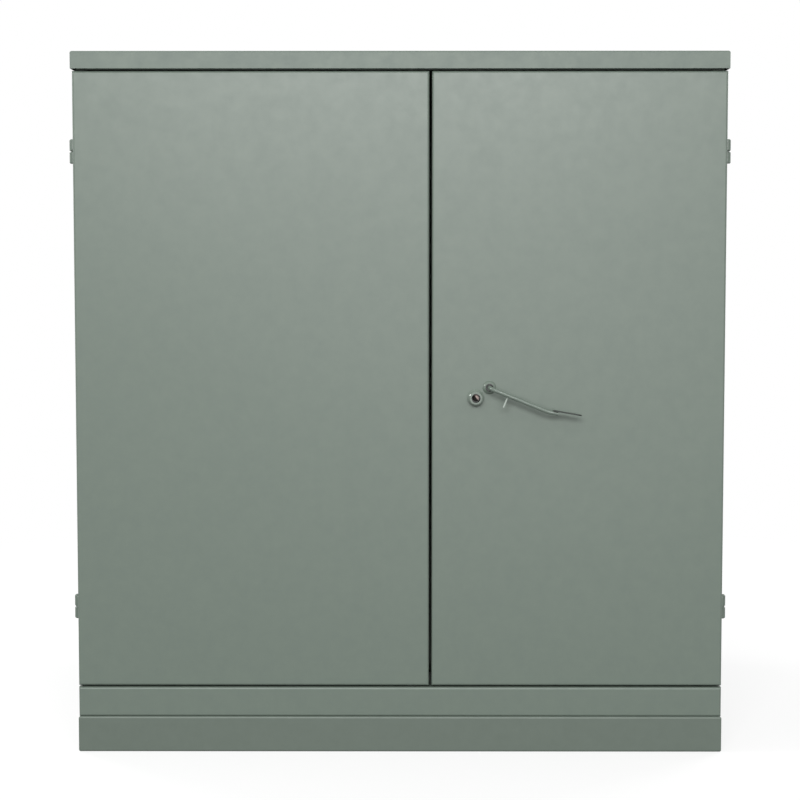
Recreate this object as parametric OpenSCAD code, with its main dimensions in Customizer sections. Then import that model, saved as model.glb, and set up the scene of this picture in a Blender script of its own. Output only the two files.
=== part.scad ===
// Compact substation: a three-phase transformer in a welded tank behind a steel cabinet.
// The left door covers the high-voltage terminals, the right one the low-voltage terminals.
// Millimetres, +Z up, doors face -Y, +X to the right as seen from the doors.
// The origin lies on the pad under the middle of the overall box.

/* [Cabinet] */
// Width across the outer faces of the side panels
cabinet_w = 1500; // [1460:10:1600]
// Height from the pad to the top of the lid
cabinet_h = 1623; // [1540:1:1760]
// Depth from the door faces to the tank front plate
cabinet_d = 500; // [480:10:600]
// Thickness of the cabinet and door sheet
sheet = 2.5; // [2:0.5:3]
// Outer radius of the folded edges
bend_r = 5; // [4:0.5:6]
// Width of the edges folded inward round each side panel
panel_flange = 30; // [24:1:36]

/* [Lid] */
// Height of the folded skirt round the lid
lid_skirt = 40; // [34:1:60]
// Overhang of the lid past each side panel
lid_overhang = 3; // [3:0.5:10]
// Overhang of the lid in front of the doors
lid_proud = 5; // [4:1:20]

/* [Base and sill] */
// Height of the base frame
base_h = 84; // [70:1:100]
// Plate thickness of the base frame
base_t = 5; // [4:0.5:8]
// Distance the base frame stands proud of the cabinet
base_proud = 1; // [1:0.5:5]
// Width of the bottom flange of the base frame
base_flange = 64; // [60:1:80]
// Diameter of the anchor bolt holes
anchor_d = 18; // [14:1:20]
// Height of the sill under the doors
sill_h = 69; // [56:1:90]

/* [Doors] */
// Share of the cabinet width that the high-voltage door takes
hv_door_share = 0.545; // [0.53:0.005:0.55]
// Gap between the two doors
door_gap = 6; // [5:0.5:10]
// Depth of the folded door pans
door_d = 38; // [36:1:46]
// Gap between the door tops and the lid skirt
door_top_gap = 5; // [4:0.5:8]
// Gap between the doors and the sill
door_sill_gap = 4; // [3:0.5:8]

/* [Hinges] */
// Distance from a door's end to the middle of its hinge
hinge_inset = 180; // [150:1:240]
// Length of both knuckles of a hinge together
hinge_len = 56; // [48:1:80]
// Distance from the side panels out to the hinge pins
hinge_out = 6; // [5:0.5:8]
// Diameter of the hinge knuckles
hinge_barrel_d = 16; // [15:0.5:18]
// Diameter of the hinge pins
hinge_pin_d = 8; // [6:0.5:9]

/* [Door latch] */
// Distance from the low-voltage door's free edge to the handle shaft
handle_inset = 133; // [126:1:150]
// Height of the handle shaft above the pad
handle_z = 854; // [750:1:950]
// Diameter of the bent handle rod
handle_d = 10; // [9:0.5:12]
// Length of the handle from its shaft to the bend near its end
handle_grip = 140; // [120:1:170]
// Distance from the door face to the middle of the handle rod
handle_standoff = 40; // [36:1:50]
// Radius of the crank pins that drive the latch rods
crank_r = 34; // [32:1:36]
// Width of the flat latch rods
rod_w = 26; // [24:1:28]
// Thickness of the flat latch rods
rod_t = 5; // [4:0.5:5.5]
// Diameter of the locking bolt's shank
lock_bolt_d = 10; // [8:0.5:11]

/* [Hand bolts] */
// Diameter of the two hand bolts of the high-voltage door
hand_bolt_d = 14; // [12:1:16]
// Length of each hand bolt
hand_bolt_len = 170; // [165:1:200]
// Travel of each hand bolt
hand_bolt_throw = 30; // [20:1:32]

/* [Tank] */
// Distance from each side panel in to the side of the oil tank
tank_inset = 50; // [48:1:70]
// Depth of the oil tank behind its front plate
tank_d = 560; // [520:10:640]
// Thickness of the tank walls
tank_t = 5; // [4:0.5:8]
// Thickness of the tank front plate
front_t = 6; // [5:0.5:10]
// Thickness of the tank cover
cover_t = 8; // [6:0.5:12]
// Depth of the cooling fins
fin_depth = 180; // [120:5:240]
// Distance between neighbouring cooling fins
fin_pitch = 58; // [52:1:80]
// Thickness of one cooling fin
fin_t = 10; // [8:1:16]
// Height of the cooling fins
fin_h = 1050; // [800:10:1150]

/* [High-voltage side] */
// Distance between neighbouring high-voltage bushings
hv_pitch = 180; // [170:5:200]
// Distance from the tank top down to the fuse holders
fuse_drop = 280; // [220:5:330]
// Distance from the fuse holders down to the high-voltage bushings
hv_drop = 290; // [250:5:320]
// Diameter of the fuse holder rods
fuse_d = 34; // [28:1:38]

/* [Low-voltage side] */
// Distance between neighbouring low-voltage terminals
lv_pitch = 140; // [130:1:145]
// Distance from the gauges down to the low-voltage terminals
lv_drop = 400; // [340:5:440]
// Width of a terminal blade
blade_w = 76; // [70:1:90]
// Thickness of a terminal blade
blade_t = 12; // [10:0.5:16]
// Diameter of the holes in a terminal blade
blade_hole_d = 14.3; // [11:0.1:16]
// Distance between the holes in a terminal blade
blade_hole_pitch = 44.45; // [40:0.05:48]

/* [Hidden] */
$fn = 48;

// Fits and cuts
overrun = 1;            // cuts pass their faces by this much
run_fit = 0.06;         // radial clearance of turning and sliding round pieces
seat_fit = 0.25;        // radial clearance of pieces fixed in a hole
slide_fit = 0.4;        // clearance of flat sliding pieces

// Cabinet levels and edges
half_w = cabinet_w / 2;
lid_z = cabinet_h - lid_skirt;                        // lower edge of the lid skirt
roof_z = cabinet_h - sheet;                           // underside of the lid top
sill_z = base_h + sill_h;                             // top of the sill
door_z0 = sill_z + door_sill_gap;
door_z1 = lid_z - door_top_gap;
door_h = door_z1 - door_z0;
hv_door_w = hv_door_share * cabinet_w;
split_x0 = hv_door_w - half_w;                        // free edge of the high-voltage door
split_x1 = split_x0 + door_gap;                       // free edge of the low-voltage door
lv_door_w = half_w - split_x1;
part_gap = 3;                                         // door edge to side panel
panel_y = door_d + part_gap;                          // front edge of the side panels
panel_h = roof_z - base_h;
lid_clear = 0.5;                                      // tank front plate to the lid's inner bend
lid_fit = bend_r - sheet + lid_clear;                 // tank front plate to the lid skirt
lid_w = cabinet_w + 2*lid_overhang;
lid_d = lid_proud + cabinet_d + front_t + lid_fit + sheet;

// Tank
tank_w = cabinet_w - 2*tank_inset;
tank_y0 = cabinet_d + front_t;
tank_y1 = tank_y0 + tank_d;
cover_gap = 2;                                        // tank cover to lid skirt
tank_top = lid_z - cover_gap - cover_t;
rim_w = 40;                                           // bolting rim inside the tank top
rim_t = 8;
cover_bolt_d = 12;
cover_bolt_in = 24;                                   // bolt circle line to the cover edge
cover_bolt_across = 21.9;                             // across the corners of the hexagon
cover_bolt_head = 8;
cover_bolt_columns = 9;
cover_bolt_rows = 5;
fin_margin = 62;                                      // tank corner to the first fin
fin_foot = 130;                                       // base frame to the fins
fin_web = 3;
fin_bar_d = 14;                                       // bars welded across the fins
fin_bar_in = 60;
fin_count = floor((tank_w - 2*fin_margin) / fin_pitch) + 1;
fin_span = (fin_count - 1) * fin_pitch;
lug_d = 44;
lug_out = 23;
lug_t = 14;
lug_hole_d = 24;
lug_in = 90;                                          // lug to the tank corner
lug_drop = 90;                                        // lug to the tank top

// Frame of the whole part
handle_blade_d = 20;
front_reach = handle_standoff + handle_blade_d / 2;
rear_reach = tank_y1 + fin_depth;
origin_y = (rear_reach - front_reach) / 2;

// Base frame
base_w = cabinet_w + 2*base_proud;
base_d = tank_y1 + 2*base_proud;
base_top_flange = 34;
tank_seat = 60;                                       // width of the flange under the tank
anchor_in = 46;
anchor_set = 90;

// Door header and barrier
header_clear = 4;                                     // door top to the header lip
header_lip_y = 10;
header_flange = 16;
lip_z = door_z1 + header_clear;
header_half = half_w - panel_flange;
web_share = 0.6;
barrier_set = 24;                                     // barrier to the high-voltage door's edge
barrier_gap = 3;
barrier_flange = 30;
barrier_x = split_x0 - barrier_set;
barrier_y = panel_y + header_flange + barrier_gap;

// Hinges
hinge_x = half_w + hinge_out;
hinge_y = door_d + part_gap / 2;
hinge_zs = [door_z0 + hinge_inset, door_z1 - hinge_inset];
hinge_clear = 1.5;
hinge_split = 1.2;                                    // between the two knuckles
hinge_chamfer = 2;
hinge_leaf_t = 4;
hinge_leaf_len = 28;
hinge_pin_short = 4;                                  // pin end below the knuckle end

// Latch handle
handle_x = split_x1 + handle_inset;
handle_droop = 22;                                    // angle below the horizontal at rest
handle_turn = 90 - handle_droop;                      // turn that brings the handle upright
handle_bend = 16;
tail_bend = 40;
tail_lift = 12;
tail_len = 18;
tail_waist = 0.4;                                     // tail thinner than the rod by this much
handle_blade_len = 66;
handle_blade_t = 2.5;
handle_blade_lap = 12;
handle_blade_sink = 1;                                // flat for the blade below the rod's top
blade_seat = handle_d/2 - handle_blade_sink;
padlock_d = 11;
padlock_in = 13;                                      // padlock hole to the blade end
tab_u = 44;
tab_t = 3;
tab_reach = 29;
tab_d = 18;
tab_sink = 1;                                         // tab let into the rod
peen_d = 16;
peen_t = 3;

// Handle boss in the door skin
boss_rim_d = 31;
boss_rim = 1;                                         // straight rim below the dome
boss_rise = 10;                                       // height of the whole dome
boss_dome_r = (boss_rim_d*boss_rim_d/4 + (boss_rise - boss_rim)*(boss_rise - boss_rim))
  / (2*(boss_rise - boss_rim));
boss_d = 22;
boss_in = 8;                                          // behind the door face
boss_mouth_d = 17.5;
boss_mouth_in = 1;                                    // mouth floor behind the door face

// Latch cam on the handle shaft
cam_y = 10;                                           // front of the lobe behind the door face
cam_hub_d = 24;
cam_hub_set = 1;                                      // hub front ahead of the lobe
cam_hub_y = cam_y - cam_hub_set;
lobe_t = 4;
lobe_d = 22;
arm_y = 18;
arm_t = 5;
arm_d = 20;
crank_pin_d = 9;
crank_pin_len = 9;
half_turn = handle_turn / 2;
crank_rise = crank_r * sin(half_turn);
crank_run = crank_r * cos(half_turn);

// Latch rods
rod_gap = 2;                                          // cam bar to the rods
rod_y = arm_y + arm_t + rod_gap;                      // front face of the rods
yoke_clear = 0.9;                                     // crank pin to slot, above and below
yoke_end = 1;                                         // crank pin to slot end
rod_tail = 15;                                        // rod end past the slot middle
rod_nose = 6;
rod_set = 2;                                          // rod tip inside the door edge at rest
rod_mid = (crank_r + crank_run) / 2;
upper_rod_x = handle_x - rod_mid;
lower_rod_x = handle_x + rod_mid;
keeper_clear = 1.5;
guide_t = 3;
guide_h = 20;
guide_near = 150;                                     // guide to the handle shaft
guide_far = 70;                                       // guide to the door end

// Locking bolt and its collar
lock_dx = 31.5;                                       // left of the handle shaft
lock_dz = 24;                                         // below the handle shaft
lock_x = handle_x - lock_dx;
lock_z = handle_z - lock_dz;
lock_r = sqrt(lock_dx*lock_dx + lock_dz*lock_dz);
collar_flange_d = 40;
collar_flange_t = 4;
collar_flange_slope = 2;                              // rise of the flange's sloped edge
collar_d = 33;
collar_out = 22;
collar_lip = 2.5;                                     // rounded-off outer edge of the mouth
collar_bore_d = 20;
collar_in = 8;
collar_floor = 4;                                     // bore floor behind the door face
collar_neck_d = 26;
lock_head_d = 13;
lock_head_t = 6;
lock_washer_d = 15;
lock_washer_t = 1.5;
lock_travel = 7;
lock_lobe_clear = 0.6;

// Hand bolts
hand_bolt_inset = 40;
hand_bolt_x = split_x0 - hand_bolt_inset;
hand_bolt_y = 20;
hand_guide_w = 30;
hand_guide_d = 31;
hand_guide_h = 20;
hand_guide_tip = 26;                                  // guide middle to the bolt tip at rest
hand_knob_d = 10;
hand_knob_len = 24;
hand_knob_in = 14;                                    // knob to the bolt's inner end
hand_stop_gap = 7;                                    // thrown knob to the rear guide
hand_knob_reach = hand_bolt_len - hand_knob_in - hand_knob_d/2;
hand_guide_rear = hand_knob_reach - hand_bolt_throw - hand_stop_gap - hand_guide_h/2;

// Door stiffeners
hat_flange = 14;
hat_top = 34;
hat_h = 20;
hat_t = 2;
hat_r = 4;
hat_end = 60;                                         // stiffener end to the door edge
hat_w = hat_top + 2*hat_flange;
hv_hat_shares = [0.27, 0.66];
lv_hat_shares = [0.64];

// Core and coils
limb_w = 140;
limb_pitch = 340;
core_h = 860;
core_d = 140;
yoke_h = 140;
coil_d = 310;
coil_bore_d = 202;
coil_top_gap = 5;
core_y = tank_y0 + tank_d / 2;
core_z = base_h + tank_t;
core_w = 2*limb_pitch + limb_w;
coil_h = core_h - 2*yoke_h - coil_top_gap;

// High-voltage fittings
fuse_z = tank_top - fuse_drop;
hv_z = fuse_z - hv_drop;
switch_drop = 300;                                    // bushings down to the switch
switch_z = hv_z - switch_drop;
hv_mid = (barrier_x - half_w) / 2;
hv_xs = [hv_mid - hv_pitch, hv_mid, hv_mid + hv_pitch];
hv_tail_d = 44;
hv_tail_len = 60;
hv_flange_d = 104;
hv_flange_t = 12;
hv_body_d = 76;
hv_body_len = 52;
hv_cone_d0 = 60;
hv_cone_d1 = 46;
hv_cone_len = 92;
hv_contact_d = 22;
hv_contact_len = 12;
fuse_body_d = 56;
fuse_tail = 46;
fuse_len = 88;
fuse_flange_d = 92;
fuse_flange_t = 10;
fuse_inside = 150;
fuse_cap_d = 58;
fuse_cap_h = 30;
fuse_ring_r = 17;
fuse_wire_d = 8;
fuse_ring_sink = 3;
spindle_d = 16;
spindle_inside = 40;
spindle_flange_d = 84;
spindle_flange_t = 10;
spindle_neck_d = 40;
spindle_neck = 26;
spindle_tail = 24;
knob_gap = 0.5;
switch_dx = 130;
switch_hub_d = 50;
switch_hub_t = 16;
switch_reach = 76;
switch_eye_d = 42;
switch_eye_hole = 24;
switch_bar_t = 9;
tap_dx = 130;
tap_knob_d = 62;
tap_knob_t = 18;
tap_reach = 52;
tap_eye_d = 34;
tap_eye_hole = 20;
tap_bar_t = 10;

// Low-voltage fittings
gauge_drop = 270;                                     // tank top down to the gauges
gauge_z = tank_top - gauge_drop;
lv_z = gauge_z - lv_drop;
lv_mid = (barrier_x + half_w) / 2;
lv_place_shares = [-1.5, -0.5, 0.5, 1.5];              // places in terminal pitches
lv_stud_d = 30;
lv_tail_d = 58;
lv_tail_len = 56;
lv_flange_d = 104;
lv_flange_t = 10;
lv_core_d = 64;
lv_shed_d = 90;
lv_shed_t = 8;
lv_shed_pitch = 20;
lv_sheds = 3;
lv_shed_share = 0.5;                                   // first shed above the flange, in pitches
lv_len = 74;
lv_nut_d = 52;
lv_nut_t = 12;
blade_len = 112;
blade_end = 24;                                       // blade end to the first holes
stud_inside = 80;
pad_w = 50;
pad_t = 25;
pad_z = 260;
pad_hole_d = 10.7;
pad_hole_depth = 20;
hv_pad_x = hv_mid;
lv_pad_x = lv_mid;

// Gauges and valves
gauge_d = 92;
gauge_t = 36;
gauge_dial_d = 76;
gauge_dial = 12;                                      // dial face below the case front
gauge_neck_d = 36;
gauge_neck = 34;
gauge_spread = 130;
gauge_spindle_d = 4;
gauge_spindle = 5;
lens_t = 2.5;
lens_gap = 0.15;
needle_hub_d = 10;
needle_t = 1.5;
needle_rise = 1.2;
needle_len = 29;
needle_w = 5;
relief_drop = 130;                                    // tank top down to the relief valve
relief_z = tank_top - relief_drop;
relief_neck_d = 26;
relief_neck = 26;
relief_hex_d = 40;
relief_hex_t = 14;
relief_body_d = 32;
relief_body = 34;
relief_cap_d = 24;
relief_cap = 8;
drain_dx = 210;
drain_z = 190;
drain_neck_d = 34;
drain_neck = 24;
drain_flange_d = 58;
drain_flange_t = 8;
drain_body_d = 42;
drain_body = 62;
drain_plug_d = 34;
drain_plug = 16;
drain_spigot_d = 26;
drain_spigot = 34;
drain_spigot_out = 40;

steel_green = [0.50, 0.55, 0.51];
steel_bare = [0.70, 0.70, 0.70];
resin = [0.35, 0.20, 0.14];
rubber_black = [0.12, 0.12, 0.13];
copper = [0.72, 0.45, 0.30];
zinc = [0.62, 0.63, 0.65];

// Seats the build axes, whose y runs from the door faces, in the frame of the whole part.
module seat() {
  translate([0, -origin_y, 0]) children();
}

// Rectangle with its two lower corners rounded.
module round_foot(w, h, r) {
  translate([0, r]) square([w, h - r]);
  translate([r, 0]) square([w - 2*r, h]);
  translate([r, r]) circle(r);
  translate([w - r, r]) circle(r);
}

// Rectangle with four rounded corners.
module round_slab(w, h, r) {
  translate([0, r]) square([w, h - 2*r]);
  translate([r, 0]) square([w - 2*r, h]);
  for (x = [r, w - r]) {
    for (y = [r, h - r]) {
      translate([x, y]) circle(r);
    }
  }
}

// Folded angle with its outer corner, of radius r, at the origin.
module angle_profile(a, b, t, r) {
  difference() {
    round_corner(a, b, r);
    translate([t, t]) round_corner(a, b, r - t);
  }
}

// Rectangle with the corner at the origin rounded.
module round_corner(a, b, r) {
  translate([0, r]) square([a, b - r]);
  translate([r, 0]) square([a - r, b]);
  translate([r, r]) circle(r);
}

// Straight bar with round ends, from the origin along +X.
module link_profile(len, d) {
  circle(d = d);
  translate([0, -d/2]) square([len, d]);
  translate([len, 0]) circle(d = d);
}

// Block whose four edges round the face at z = 0 are rounded.
module tray_block(w, d, h, r) {
  intersection() {
    translate([0, d, 0]) rotate([90, 0, 0]) linear_extrude(d) round_foot(w, h, r);
    rotate([90, 0, 90]) linear_extrude(w) round_foot(d, h, r);
  }
}

// Sheet pan: face at z = 0, four edges folded up to h.
module tray(w, d, h, r, t) {
  difference() {
    tray_block(w, d, h, r);
    translate([t, t, t]) tray_block(w - 2*t, d - 2*t, h, r - t);
  }
}

// Block with its long upper and lower edges rounded.
module bent_box(w, d, h, r) {
  intersection() {
    translate([0, d, 0]) rotate([90, 0, 0]) linear_extrude(d) round_slab(w, h, r);
    rotate([90, 0, 90]) linear_extrude(w) round_slab(d, h, r);
  }
}

// Turns a piece built along +Z so that it points into the cabinet from the doors.
module inward() {
  rotate([-90, 0, 0]) children();
}

// Turns a piece built along +Z so that it points out of the tank to the doors.
module outward() {
  rotate([90, 0, 0]) children();
}

// Space kept free round the knuckles of the two hinges at x.
module hinge_room(x) {
  for (z = hinge_zs) {
    translate([x, hinge_y, z - hinge_len/2 - hinge_clear])
      cylinder(d = hinge_barrel_d + 2*hinge_clear, h = hinge_len + 2*hinge_clear);
  }
}

// Base frame: folded plate ring with a cross web under the tank front.
module base_window(x_half, y0, y1, z) {
  translate([-x_half, y0, z - overrun]) cube([2*x_half, y1 - y0, base_t + 2*overrun]);
}

module base_frame() {
  color(steel_green)
  difference() {
    translate([-base_w/2, -base_proud, 0]) bent_box(base_w, base_d, base_h, bend_r);
    translate([base_t - base_w/2, base_t - base_proud, base_t])
      cube([base_w - 2*base_t, cabinet_d + base_proud - base_t, base_h - 2*base_t]);
    translate([base_t - base_w/2, cabinet_d + base_t, base_t])
      cube([base_w - 2*base_t, tank_y1 + base_proud - cabinet_d - 2*base_t, base_h - 2*base_t]);
    base_window(base_w/2 - base_flange, base_flange - base_proud, cabinet_d - base_flange, 0);
    base_window(base_w/2 - base_flange, cabinet_d + base_flange, tank_y1 - base_flange, 0);
    base_window(base_w/2 - base_top_flange, base_top_flange - base_proud,
      cabinet_d - base_top_flange, base_h - base_t);
    base_window(tank_w/2 - tank_seat, cabinet_d + tank_seat, tank_y1 - tank_seat, base_h - base_t);
    for (x = [anchor_in - base_w/2, base_w/2 - anchor_in]) {
      for (y = [anchor_set, cabinet_d - anchor_set]) {
        translate([x, y, -overrun]) cylinder(d = anchor_d, h = base_t + 2*overrun);
      }
    }
  }
}

// Keeper holes for the lower ends of the latch rod and the hand bolt, and for the upper ones.
module rod_window(x, z, clear) {
  translate([x - rod_w/2 - clear, rod_y - clear, z - overrun])
    cube([rod_w + 2*clear, rod_t + 2*clear, sheet + 2*overrun]);
}

module bolt_window(z, clear) {
  translate([hand_bolt_x, hand_bolt_y, z - overrun])
    cylinder(d = hand_bolt_d + 2*clear, h = sheet + 2*overrun);
}

module front_sill() {
  color(steel_green)
  difference() {
    translate([-half_w, 0, sill_z]) inward() tray(cabinet_w, sill_h, door_d, bend_r, sheet);
    rod_window(lower_rod_x, sill_z - sheet, keeper_clear);
    bolt_window(sill_z - sheet, keeper_clear);
  }
}

module side_panel() {
  difference() {
    translate([-half_w, panel_y, base_h])
      rotate([90, 0, 90]) tray(cabinet_d - panel_y, panel_h, panel_flange, bend_r, sheet);
    hinge_room(-hinge_x);
  }
}

module left_side_panel() {
  color(steel_green) side_panel();
}

module right_side_panel() {
  color(steel_green) mirror([1, 0, 0]) side_panel();
}

// Header behind the door tops: a folded Z with the keeper holes in its forward lip.
module header_profile() {
  translate([panel_y + sheet, lip_z]) mirror([1, 0])
    angle_profile(panel_y + sheet - header_lip_y, web_share * (roof_z - lip_z), sheet, bend_r);
  translate([panel_y, roof_z]) mirror([0, 1])
    angle_profile(header_flange, web_share * (roof_z - lip_z), sheet, bend_r);
}

module door_header() {
  color(steel_green)
  difference() {
    translate([-header_half, 0, 0]) rotate([90, 0, 90]) linear_extrude(2*header_half) header_profile();
    rod_window(upper_rod_x, lip_z, keeper_clear);
    bolt_window(lip_z, keeper_clear);
  }
}

module roof_lid() {
  color(steel_green)
  translate([-lid_w/2, -lid_proud, cabinet_h]) mirror([0, 0, 1])
    tray(lid_w, lid_d, lid_skirt, bend_r, sheet);
}

// Steel barrier between the two compartments, flanged to the tank front plate.
module compartment_barrier() {
  color(steel_green)
  translate([barrier_x, cabinet_d, base_h]) rotate([0, 0, 180]) linear_extrude(roof_z - base_h)
    angle_profile(barrier_flange, cabinet_d - barrier_y, sheet, bend_r);
}

// Hole through the tank front plate.
module front_hole(x, z, d) {
  translate([x, cabinet_d - overrun, z]) inward() cylinder(d = d, h = front_t + 2*overrun);
}

module tank_front() {
  color(steel_green)
  difference() {
    translate([sheet - half_w, cabinet_d, base_h])
      cube([cabinet_w - 2*sheet, front_t, roof_z - base_h]);
    for (x = hv_xs) {
      front_hole(x, hv_z, hv_tail_d + 2*seat_fit);
      front_hole(x, fuse_z, fuse_body_d + 2*seat_fit);
    }
    for (i = lv_place_shares) {
      front_hole(lv_mid + i*lv_pitch, lv_z, lv_tail_d + 2*seat_fit);
    }
    front_hole(hv_mid - switch_dx, switch_z, spindle_neck_d + 2*seat_fit);
    front_hole(hv_mid + tap_dx, switch_z, spindle_neck_d + 2*seat_fit);
    front_hole(lv_mid - gauge_spread, gauge_z, gauge_neck_d + 2*seat_fit);
    front_hole(lv_mid + gauge_spread, gauge_z, gauge_neck_d + 2*seat_fit);
    front_hole(lv_mid, relief_z, relief_neck_d + 2*seat_fit);
    front_hole(lv_mid - drain_dx, drain_z, drain_neck_d + 2*seat_fit);
  }
}

module tank_shell() {
  color(steel_green)
  difference() {
    translate([-tank_w/2, tank_y0, base_h]) cube([tank_w, tank_d, tank_top - base_h]);
    translate([tank_t - tank_w/2, tank_y0 - overrun, base_h + tank_t])
      cube([tank_w - 2*tank_t, tank_d - tank_t + overrun, tank_top - rim_t - base_h - tank_t]);
    translate([rim_w - tank_w/2, tank_y0 + rim_w, tank_top - rim_t - overrun])
      cube([tank_w - 2*rim_w, tank_d - 2*rim_w, rim_t + 2*overrun]);
    cover_holes(tank_top - rim_t, rim_t);
  }
}

// Bolt places round the tank rim: rows along the front and rear, columns at the sides.
cover_run_x = tank_w - 2*cover_bolt_in;
cover_run_y = tank_d - 2*cover_bolt_in;
cover_rows = [for (i = [0 : cover_bolt_columns - 1], s = [0, 1])
  [cover_run_x * (i / (cover_bolt_columns - 1)) - cover_run_x/2, tank_y0 + cover_bolt_in + s*cover_run_y]];
cover_columns = [for (i = [1 : cover_bolt_rows - 2], s = [0, 1])
  [s*cover_run_x - cover_run_x/2, tank_y0 + cover_bolt_in + cover_run_y * (i / (cover_bolt_rows - 1))]];
cover_spots = concat(cover_rows, cover_columns);

module cover_holes(z, t) {
  for (p = cover_spots) {
    translate([p[0], p[1], z - overrun]) cylinder(d = cover_bolt_d + 2*seat_fit, h = t + 2*overrun);
  }
}

module tank_cover() {
  color(steel_green)
  difference() {
    translate([-tank_w/2, tank_y0, tank_top]) cube([tank_w, tank_d, cover_t]);
    cover_holes(tank_top, cover_t);
  }
}

module cover_bolts() {
  color(zinc)
  for (p = cover_spots) {
    translate([p[0], p[1], tank_top + cover_t])
      cylinder(d = cover_bolt_across, h = cover_bolt_head, $fn = 6);
    translate([p[0], p[1], tank_top - rim_t])
      cylinder(d = cover_bolt_d, h = rim_t + cover_t + cover_bolt_head);
  }
}

// Corrugated cooling wall: a row of closed fins with two bars welded across them.
module fin_profile() {
  translate([-fin_span/2, 0]) square([fin_span, fin_web]);
  for (i = [0 : fin_count - 1]) {
    translate([i*fin_pitch - fin_span/2 - fin_t/2, 0]) square([fin_t, fin_depth - fin_t/2]);
    translate([i*fin_pitch - fin_span/2, fin_depth - fin_t/2]) circle(d = fin_t);
  }
}

module fin_wall() {
  color(steel_green)
  translate([0, tank_y1, base_h + fin_foot]) {
    linear_extrude(fin_h) fin_profile();
    for (z = [fin_bar_in, fin_h - fin_bar_in]) {
      translate([-fin_span/2 - fin_t, fin_depth - fin_t - fin_bar_d/2, z])
        rotate([0, 90, 0]) cylinder(d = fin_bar_d, h = fin_span + 2*fin_t);
    }
  }
}

module lug() {
  outward() linear_extrude(lug_t, center = true)
  difference() {
    union() {
      translate([0, -lug_d/2]) square([lug_out, lug_d]);
      translate([lug_out, 0]) circle(d = lug_d);
    }
    translate([lug_out, 0]) circle(d = lug_hole_d);
  }
}

module lifting_lugs() {
  color(steel_green)
  for (y = [tank_y0 + lug_in, tank_y1 - lug_in]) {
    translate([tank_w/2, y, tank_top - lug_drop]) lug();
    translate([-tank_w/2, y, tank_top - lug_drop]) mirror([1, 0, 0]) lug();
  }
}

// Three-limb core standing on the tank floor, and one coil on each limb.
module core() {
  color(zinc)
  translate([-core_w/2, core_y - core_d/2, core_z])
  difference() {
    cube([core_w, core_d, core_h]);
    for (x = [limb_w, limb_pitch + limb_w]) {
      translate([x, -overrun, yoke_h])
        cube([limb_pitch - limb_w, core_d + 2*overrun, core_h - 2*yoke_h]);
    }
  }
}

module coil(x) {
  color(copper)
  translate([x, core_y, core_z + yoke_h])
  difference() {
    cylinder(d = coil_d, h = coil_h);
    translate([0, 0, -overrun]) cylinder(d = coil_bore_d, h = coil_h + 2*overrun);
  }
}

module coil_1() {
  coil(-limb_pitch);
}

module coil_2() {
  coil(0);
}

module coil_3() {
  coil(limb_pitch);
}

// High-voltage bushing: tail in the tank, clamped flange, body and tapered plug face.
hv_body_z = hv_flange_t + hv_body_len;
hv_cone_z = hv_body_z + hv_cone_len;
hv_tip_z = hv_cone_z + hv_contact_len;
hv_profile = [
  [0, -hv_tail_len],
  [hv_tail_d/2, -hv_tail_len],
  [hv_tail_d/2, 0],
  [hv_flange_d/2, 0],
  [hv_flange_d/2, hv_flange_t],
  [hv_body_d/2, hv_flange_t],
  [hv_body_d/2, hv_body_z],
  [hv_cone_d0/2, hv_body_z],
  [hv_cone_d1/2, hv_cone_z],
  [hv_contact_d/2, hv_cone_z],
  [hv_contact_d/2, hv_tip_z],
  [0, hv_tip_z]
];

module hv_bushing(x) {
  color(rubber_black)
  translate([x, cabinet_d, hv_z]) outward() rotate_extrude() polygon(hv_profile);
}

module hv_bushing_1() {
  hv_bushing(hv_xs[0]);
}

module hv_bushing_2() {
  hv_bushing(hv_xs[1]);
}

module hv_bushing_3() {
  hv_bushing(hv_xs[2]);
}

// Fuse wells through the tank front, and the pull-out holders with a hook ring on the cap.
module fuse_housings() {
  color(resin)
  for (x = hv_xs) {
    translate([x, cabinet_d, fuse_z]) outward()
    difference() {
      union() {
        translate([0, 0, -fuse_tail]) cylinder(d = fuse_body_d, h = fuse_tail + fuse_len);
        cylinder(d = fuse_flange_d, h = fuse_flange_t);
      }
      translate([0, 0, -fuse_tail - overrun])
        cylinder(d = fuse_d + 2*run_fit, h = fuse_tail + fuse_len + 2*overrun);
    }
  }
}

module fuse_holder(x) {
  color(rubber_black)
  translate([x, cabinet_d, fuse_z]) outward() {
    translate([0, 0, -fuse_inside]) cylinder(d = fuse_d, h = fuse_inside + fuse_len);
    translate([0, 0, fuse_len]) cylinder(d = fuse_cap_d, h = fuse_cap_h);
    translate([0, 0, fuse_len + fuse_cap_h + fuse_ring_r - fuse_ring_sink])
      outward() rotate_extrude() translate([fuse_ring_r, 0]) circle(d = fuse_wire_d);
  }
}

module fuse_holder_1() {
  fuse_holder(hv_xs[0]);
}

module fuse_holder_2() {
  fuse_holder(hv_xs[1]);
}

module fuse_holder_3() {
  fuse_holder(hv_xs[2]);
}

// Bearing boss for a spindle that runs into the tank.
module spindle_boss(x) {
  color(zinc)
  translate([x, cabinet_d, switch_z]) outward()
  difference() {
    union() {
      cylinder(d = spindle_flange_d, h = spindle_flange_t);
      translate([0, 0, -spindle_tail]) cylinder(d = spindle_neck_d, h = spindle_tail + spindle_neck);
    }
    translate([0, 0, -spindle_tail - overrun])
      cylinder(d = spindle_d + 2*run_fit, h = spindle_tail + spindle_neck + 2*overrun);
  }
}

module switch_boss() {
  spindle_boss(hv_mid - switch_dx);
}

module tap_boss() {
  spindle_boss(hv_mid + tap_dx);
}

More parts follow.
